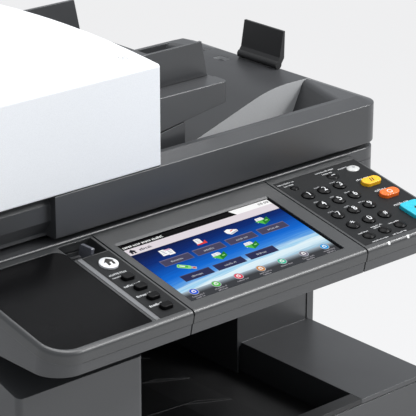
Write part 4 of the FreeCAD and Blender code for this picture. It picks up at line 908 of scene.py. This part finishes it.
def screws(name, node, spots, axis, body):
    """Pan-head screws with a round socket, standing on one face of a part."""
    heads = bmesh.new()
    profile = ((0, -1.0), (3.3, -1.0), (3.3, 0.5), (2.9, 1.2), (1.7, 1.6), (1.4, 0.7), (0, 0.6))
    for x, y, z in spots:
        lathe(heads, profile, corner(node, x, y, z), axis)
    return make_object(name, heads, finishes["frame_steel"], body)


def side_details():
    """Screws of the side skins, and the grip on the side door."""
    left_spots = ((0, 0.94, 0.06), (0, 0.94, 0.62), (0, 0.1, 0.06))
    right_spots = ((1, 0.95, 0.05), (1, 0.95, 0.9), (1, 0.1, 0.08))
    screws("left_cover_screws", "left_cover", left_spots, (-1, 0, 0), "engine")
    screws("right_cover_screws", "right_cover", right_spots, (1, 0, 0), "engine")
    grip = Layer("door_grip", finishes["black_plastic"], "right_door",
                 face_frame(corner("right_door", 1, 0.5, 0.92), *RIGHT_SIDE), -0.6, 2.2, "black_plastic")
    grip.ring(rounded_rect(-46, 46, -13, 13, 5), rounded_rect(-43, 43, -10, 10, 3))
    grip.shape(rounded_rect(-43, 43, -10, 10, 3), -0.6, 0.2)
    for step in range(5):
        grip.shape(rounded_rect(-38, 38, -8 + step * 3.4, -6.6 + step * 3.4, 0.6, 3), 0.2, 0.9)
    grip.build()


def rear_details():
    """Mains inlet and data ports on the floors of the two recesses in the rear cover."""
    low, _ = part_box("rear_cover")
    floor_face = face_frame((0, low.y + 1.5 * MM, 0), *BACK)
    shells = Layer("port_shells", finishes["black_plastic"], "engine", floor_face, -0.4, 5, "black_plastic")
    metal = Layer("port_contacts", GOLD, "engine", floor_face, -0.4, 2.5, "frame_steel")
    steel = Layer("port_cans", finishes["frame_steel"], "engine", floor_face, -0.4, 4, "frame_steel")
    shells.ring(rounded_rect(184, 216, 68, 92, 4), rounded_rect(187, 213, 71, 89, 3), -0.4, 7)
    for u, v in ((193, 78), (200, 83), (207, 78)):
        metal.shape(rect(u - 1, u + 1, v - 2.2, v + 2.2), -0.4, 6)
    steel.ring(rect(-228, -210, 214, 230), rect(-226.6, -211.4, 215.4, 228.6))
    for step in range(8):
        metal.shape(rect(-225.6 + step * 1.8, -224.9 + step * 1.8, 216, 222))
    steel.ring(rect(-200, -187, 214, 226), rect(-198.8, -188.2, 215.2, 224.8))
    shells.shape(rect(-196.5, -190.5, 218, 222), -0.4, 3)
    steel.ring(rect(-176, -162, 214, 220.4), rect(-175, -163, 215, 219.4))
    shells.shape(rect(-174.6, -163.4, 217.2, 219), -0.4, 3)
    for layer in (shells, metal, steel):
        layer.build()


def drawer_details():
    """Number badge and paper gauge on the cassette, and coloured labels on the toner handles."""
    lift = face_frame(corner("cassette", 1, 0, 1), *FRONT)
    number = lettering("1", 13)
    bmesh.ops.translate(number, verts=number.verts, vec=(-35, -21, 0))
    stamp("cassette_number", number, lift, 0.05, INK, "cassette")
    frame_band = band_mesh(rounded_rect(-44, -26, -30, -12, 3), rounded_rect(-43, -27, -29, -13, 2.4))
    stamp("cassette_badge", frame_band, lift, 0.05, DIM_INK, "cassette")
    well = band_mesh(rounded_rect(-16, -8, -56, -14, 3), rounded_rect(-15, -9, -55, -15, 2.4))
    stamp("paper_gauge_rim", well, lift, 0.3, finishes["black_plastic"], "cassette")
    amber = printed("gauge_amber", srgb(226, 132, 40))
    stamp("paper_gauge_level", outline_mesh([rounded_rect(-15, -9, -55, -32, 2.4)]), lift, 0.1, amber,
          "cassette")
    inks = ((26, 168, 206), (200, 40, 120), (238, 200, 40), (58, 58, 60))
    low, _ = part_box("toner_containers")
    for index, ink in enumerate(inks):
        place = face_frame((low.x + (29 + 74 * index) * MM, low.y, 275 * MM), *FRONT)
        stamp(f"toner_label_{index + 1}", outline_mesh([rounded_rect(-9, 9, -5, 5, 2)]), place, 0.3,
              printed(f"toner_ink_{index + 1}", srgb(*ink)), "engine")


def feeder_details():
    """Darker skin on the delivery ramp's upper faces as painted shade, a black rubber strip in the gap under
    the feed cover as painted shade, size ticks, and the cover's pictogram.
    """
    # Painted shade: the ramp's upper faces get a darker skin than its pale grey walls, standing in for the
    # shade on them.
    top_shade = moulded("ramp_top_shade_face", srgb(48, 49, 51), roughness=0.4, edge_wear_and_highlight=1.8, Specular_IOR_Level=0.5)
    skin("ramp_tread", "delivery_ramp", lambda normal, centre: normal.z > 0.3, 0.12, top_shade, "feeder")
    # Painted shade: a black rubber strip fills the gap under the feed cover's front edge, standing in for
    # the shadow in that gap.
    gap_shade = Layer("cover_gap_shade", finishes["rubber"], "feeder", MACHINE, 641.2, 642.35, "rubber")
    gap_shade.shape(rounded_rect(-268, -26, -93.8, -80, 4))
    gap_shade.build()
    table_middle = corner("document_table", 0, 0.5, 1) - Vector((0, 0, 1.5 * MM))
    table = Layer("table_size_marks", DIM_INK, "document_table", face_frame(table_middle, *TOP), -0.2, 0.05,
                  "dark_plastic")
    for reach in (52.5, 74, 91, 105):
        for side in (-1, 1):
            v = side * reach
            table.bar((92, v), (99, v), 0.5)
            table.shape([(90.4, v), (88.4, v - 1), (88.4, v + 1)])
    table.build()
    _, glass_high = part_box("platen_glass")
    level = Matrix.Translation((0, 0, glass_high.z + 0.3 * MM)) @ MACHINE
    ticks = Layer("platen_size_marks", INK, "engine", level, -0.2, 0.05, "dark_plastic")
    for step in range(12):
        x = -186 + step * 30
        ticks.bar((x, glass_high.y / MM + 3), (x, glass_high.y / MM + (9 if step % 3 == 0 else 6)), 0.5)
    for step in range(8):
        y = -44 + step * 30
        ticks.bar((-208, y), (-202 if step % 3 else -198, y), 0.5)
    ticks.build()
    mark = band_mesh(rounded_rect(-4, 4, -4.2, 4.2, 1.0), rounded_rect(-3.2, 3.2, -3.4, 3.4, 0.7))
    drape("cover_mark_frame", mark, "feed_cover", -45, -61.5, DIM_INK, "white_plastic", MACHINE)
    drape("cover_mark_arrow", outline_mesh([[(-2, -1.6), (2, -1.6), (0, 2)]]), "feed_cover", -45, -61.5,
          DIM_INK, "white_plastic", MACHINE)


panel_sheets()
side_details()
rear_details()
drawer_details()
feeder_details()


# ---- floor, light and camera ---------------------------------------------------------------------
def floor():
    """Plain pale floor, far larger than the machine, that fades into the surroundings."""
    mesh = bmesh.new()
    half = 9.0
    outline = rect(-half, half, -half, half)
    mesh.faces.new([mesh.verts.new((x, y, -0.0005)) for x, y in outline])
    data = bpy.data.meshes.new("floor")
    mesh.to_mesh(data)
    mesh.free()
    g = Graph("pale_floor")
    g.set(Base_Color=(0.70, 0.70, 0.70, 1.0), Roughness=0.9, Specular_IOR_Level=0.1)
    backdrop = g.add("ShaderNodeEmission", {"Color": srgb(241, 241, 242)})
    seen = g.add("ShaderNodeLightPath").outputs["Is Camera Ray"]
    far = g.add("ShaderNodeVectorMath", {0: g.place}, operation="LENGTH").outputs["Value"]
    share = g.add("ShaderNodeMapRange", {"Value": far, "From Min": 1.2, "From Max": 4.0, "To Min": 0.78,
                                         "To Max": 1.0}).outputs["Result"]
    blend = g.add("ShaderNodeMixShader", {0: g.math("MULTIPLY", seen, share), 1: g.surface.outputs["BSDF"],
                                          2: backdrop.outputs["Emission"]})
    output = next(node for node in g.tree.nodes if node.type == "OUTPUT_MATERIAL")
    g.feed(output.inputs["Surface"], blend.outputs["Shader"])
    data.materials.append(g.material)
    piece = bpy.data.objects.new("floor", data)
    bpy.context.scene.collection.objects.link(piece)


def soft_box(name, place, aim, width, height, power, tint=(1, 1, 1)):
    data = bpy.data.lights.new(name, "AREA")
    data.shape = "RECTANGLE"
    data.size, data.size_y = width, height
    data.energy = power
    data.color = tint
    lamp = bpy.data.objects.new(name, data)
    bpy.context.scene.collection.objects.link(lamp)
    lamp.location = place
    lamp.rotation_euler = (Vector(aim) - Vector(place)).to_track_quat("-Z", "Y").to_euler()


def studio():
    """Even white surroundings, a large overhead softbox and a strip that draws the edges."""
    world = bpy.data.worlds.new("studio")
    world.use_nodes = True
    bpy.context.scene.world = world
    tree = world.node_tree
    tree.nodes.clear()
    ambient = tree.nodes.new("ShaderNodeBackground")
    ambient.inputs["Color"].default_value = (0.93, 0.96, 1.0, 1.0)
    ambient.inputs["Strength"].default_value = 0.62
    seen = tree.nodes.new("ShaderNodeBackground")
    seen.inputs["Color"].default_value = srgb(241, 241, 242)
    path = tree.nodes.new("ShaderNodeLightPath")
    choose = tree.nodes.new("ShaderNodeMixShader")
    output = tree.nodes.new("ShaderNodeOutputWorld")
    tree.links.new(path.outputs["Is Camera Ray"], choose.inputs["Fac"])
    tree.links.new(ambient.outputs[0], choose.inputs[1])
    tree.links.new(seen.outputs[0], choose.inputs[2])
    tree.links.new(choose.outputs[0], output.inputs["Surface"])
    soft_box("overhead", (0.4, 0.1, 3.2), (0.0, 0.0, 0.5), 2.2, 2.2, 60)
    soft_box("edge_strip", (1.9, -1.3, 2.6), (0.0, 0.0, 0.6), 1.6, 0.3, 48)
    soft_box("front_fill", (2.2, -2.8, 2.5), (0.1, 0.0, 0.6), 2.0, 1.2, 36)


def photo_camera():
    """The viewpoint of the product picture: in front on the left, looking down on the panel."""
    data = bpy.data.cameras.new("camera")
    data.lens = 181.9
    data.sensor_width = 36.0
    data.clip_start, data.clip_end = 0.05, 60.0
    camera = bpy.data.objects.new("camera", data)
    bpy.context.scene.collection.objects.link(camera)
    camera.location = (-1.2792, -1.5941, 1.3487)
    camera.rotation_euler = Euler((math.radians(68.96), 0.0, math.radians(-41.26)))
    bpy.context.scene.camera = camera


floor()
studio()
photo_camera()
bpy.context.scene.view_settings.view_transform = "Standard"
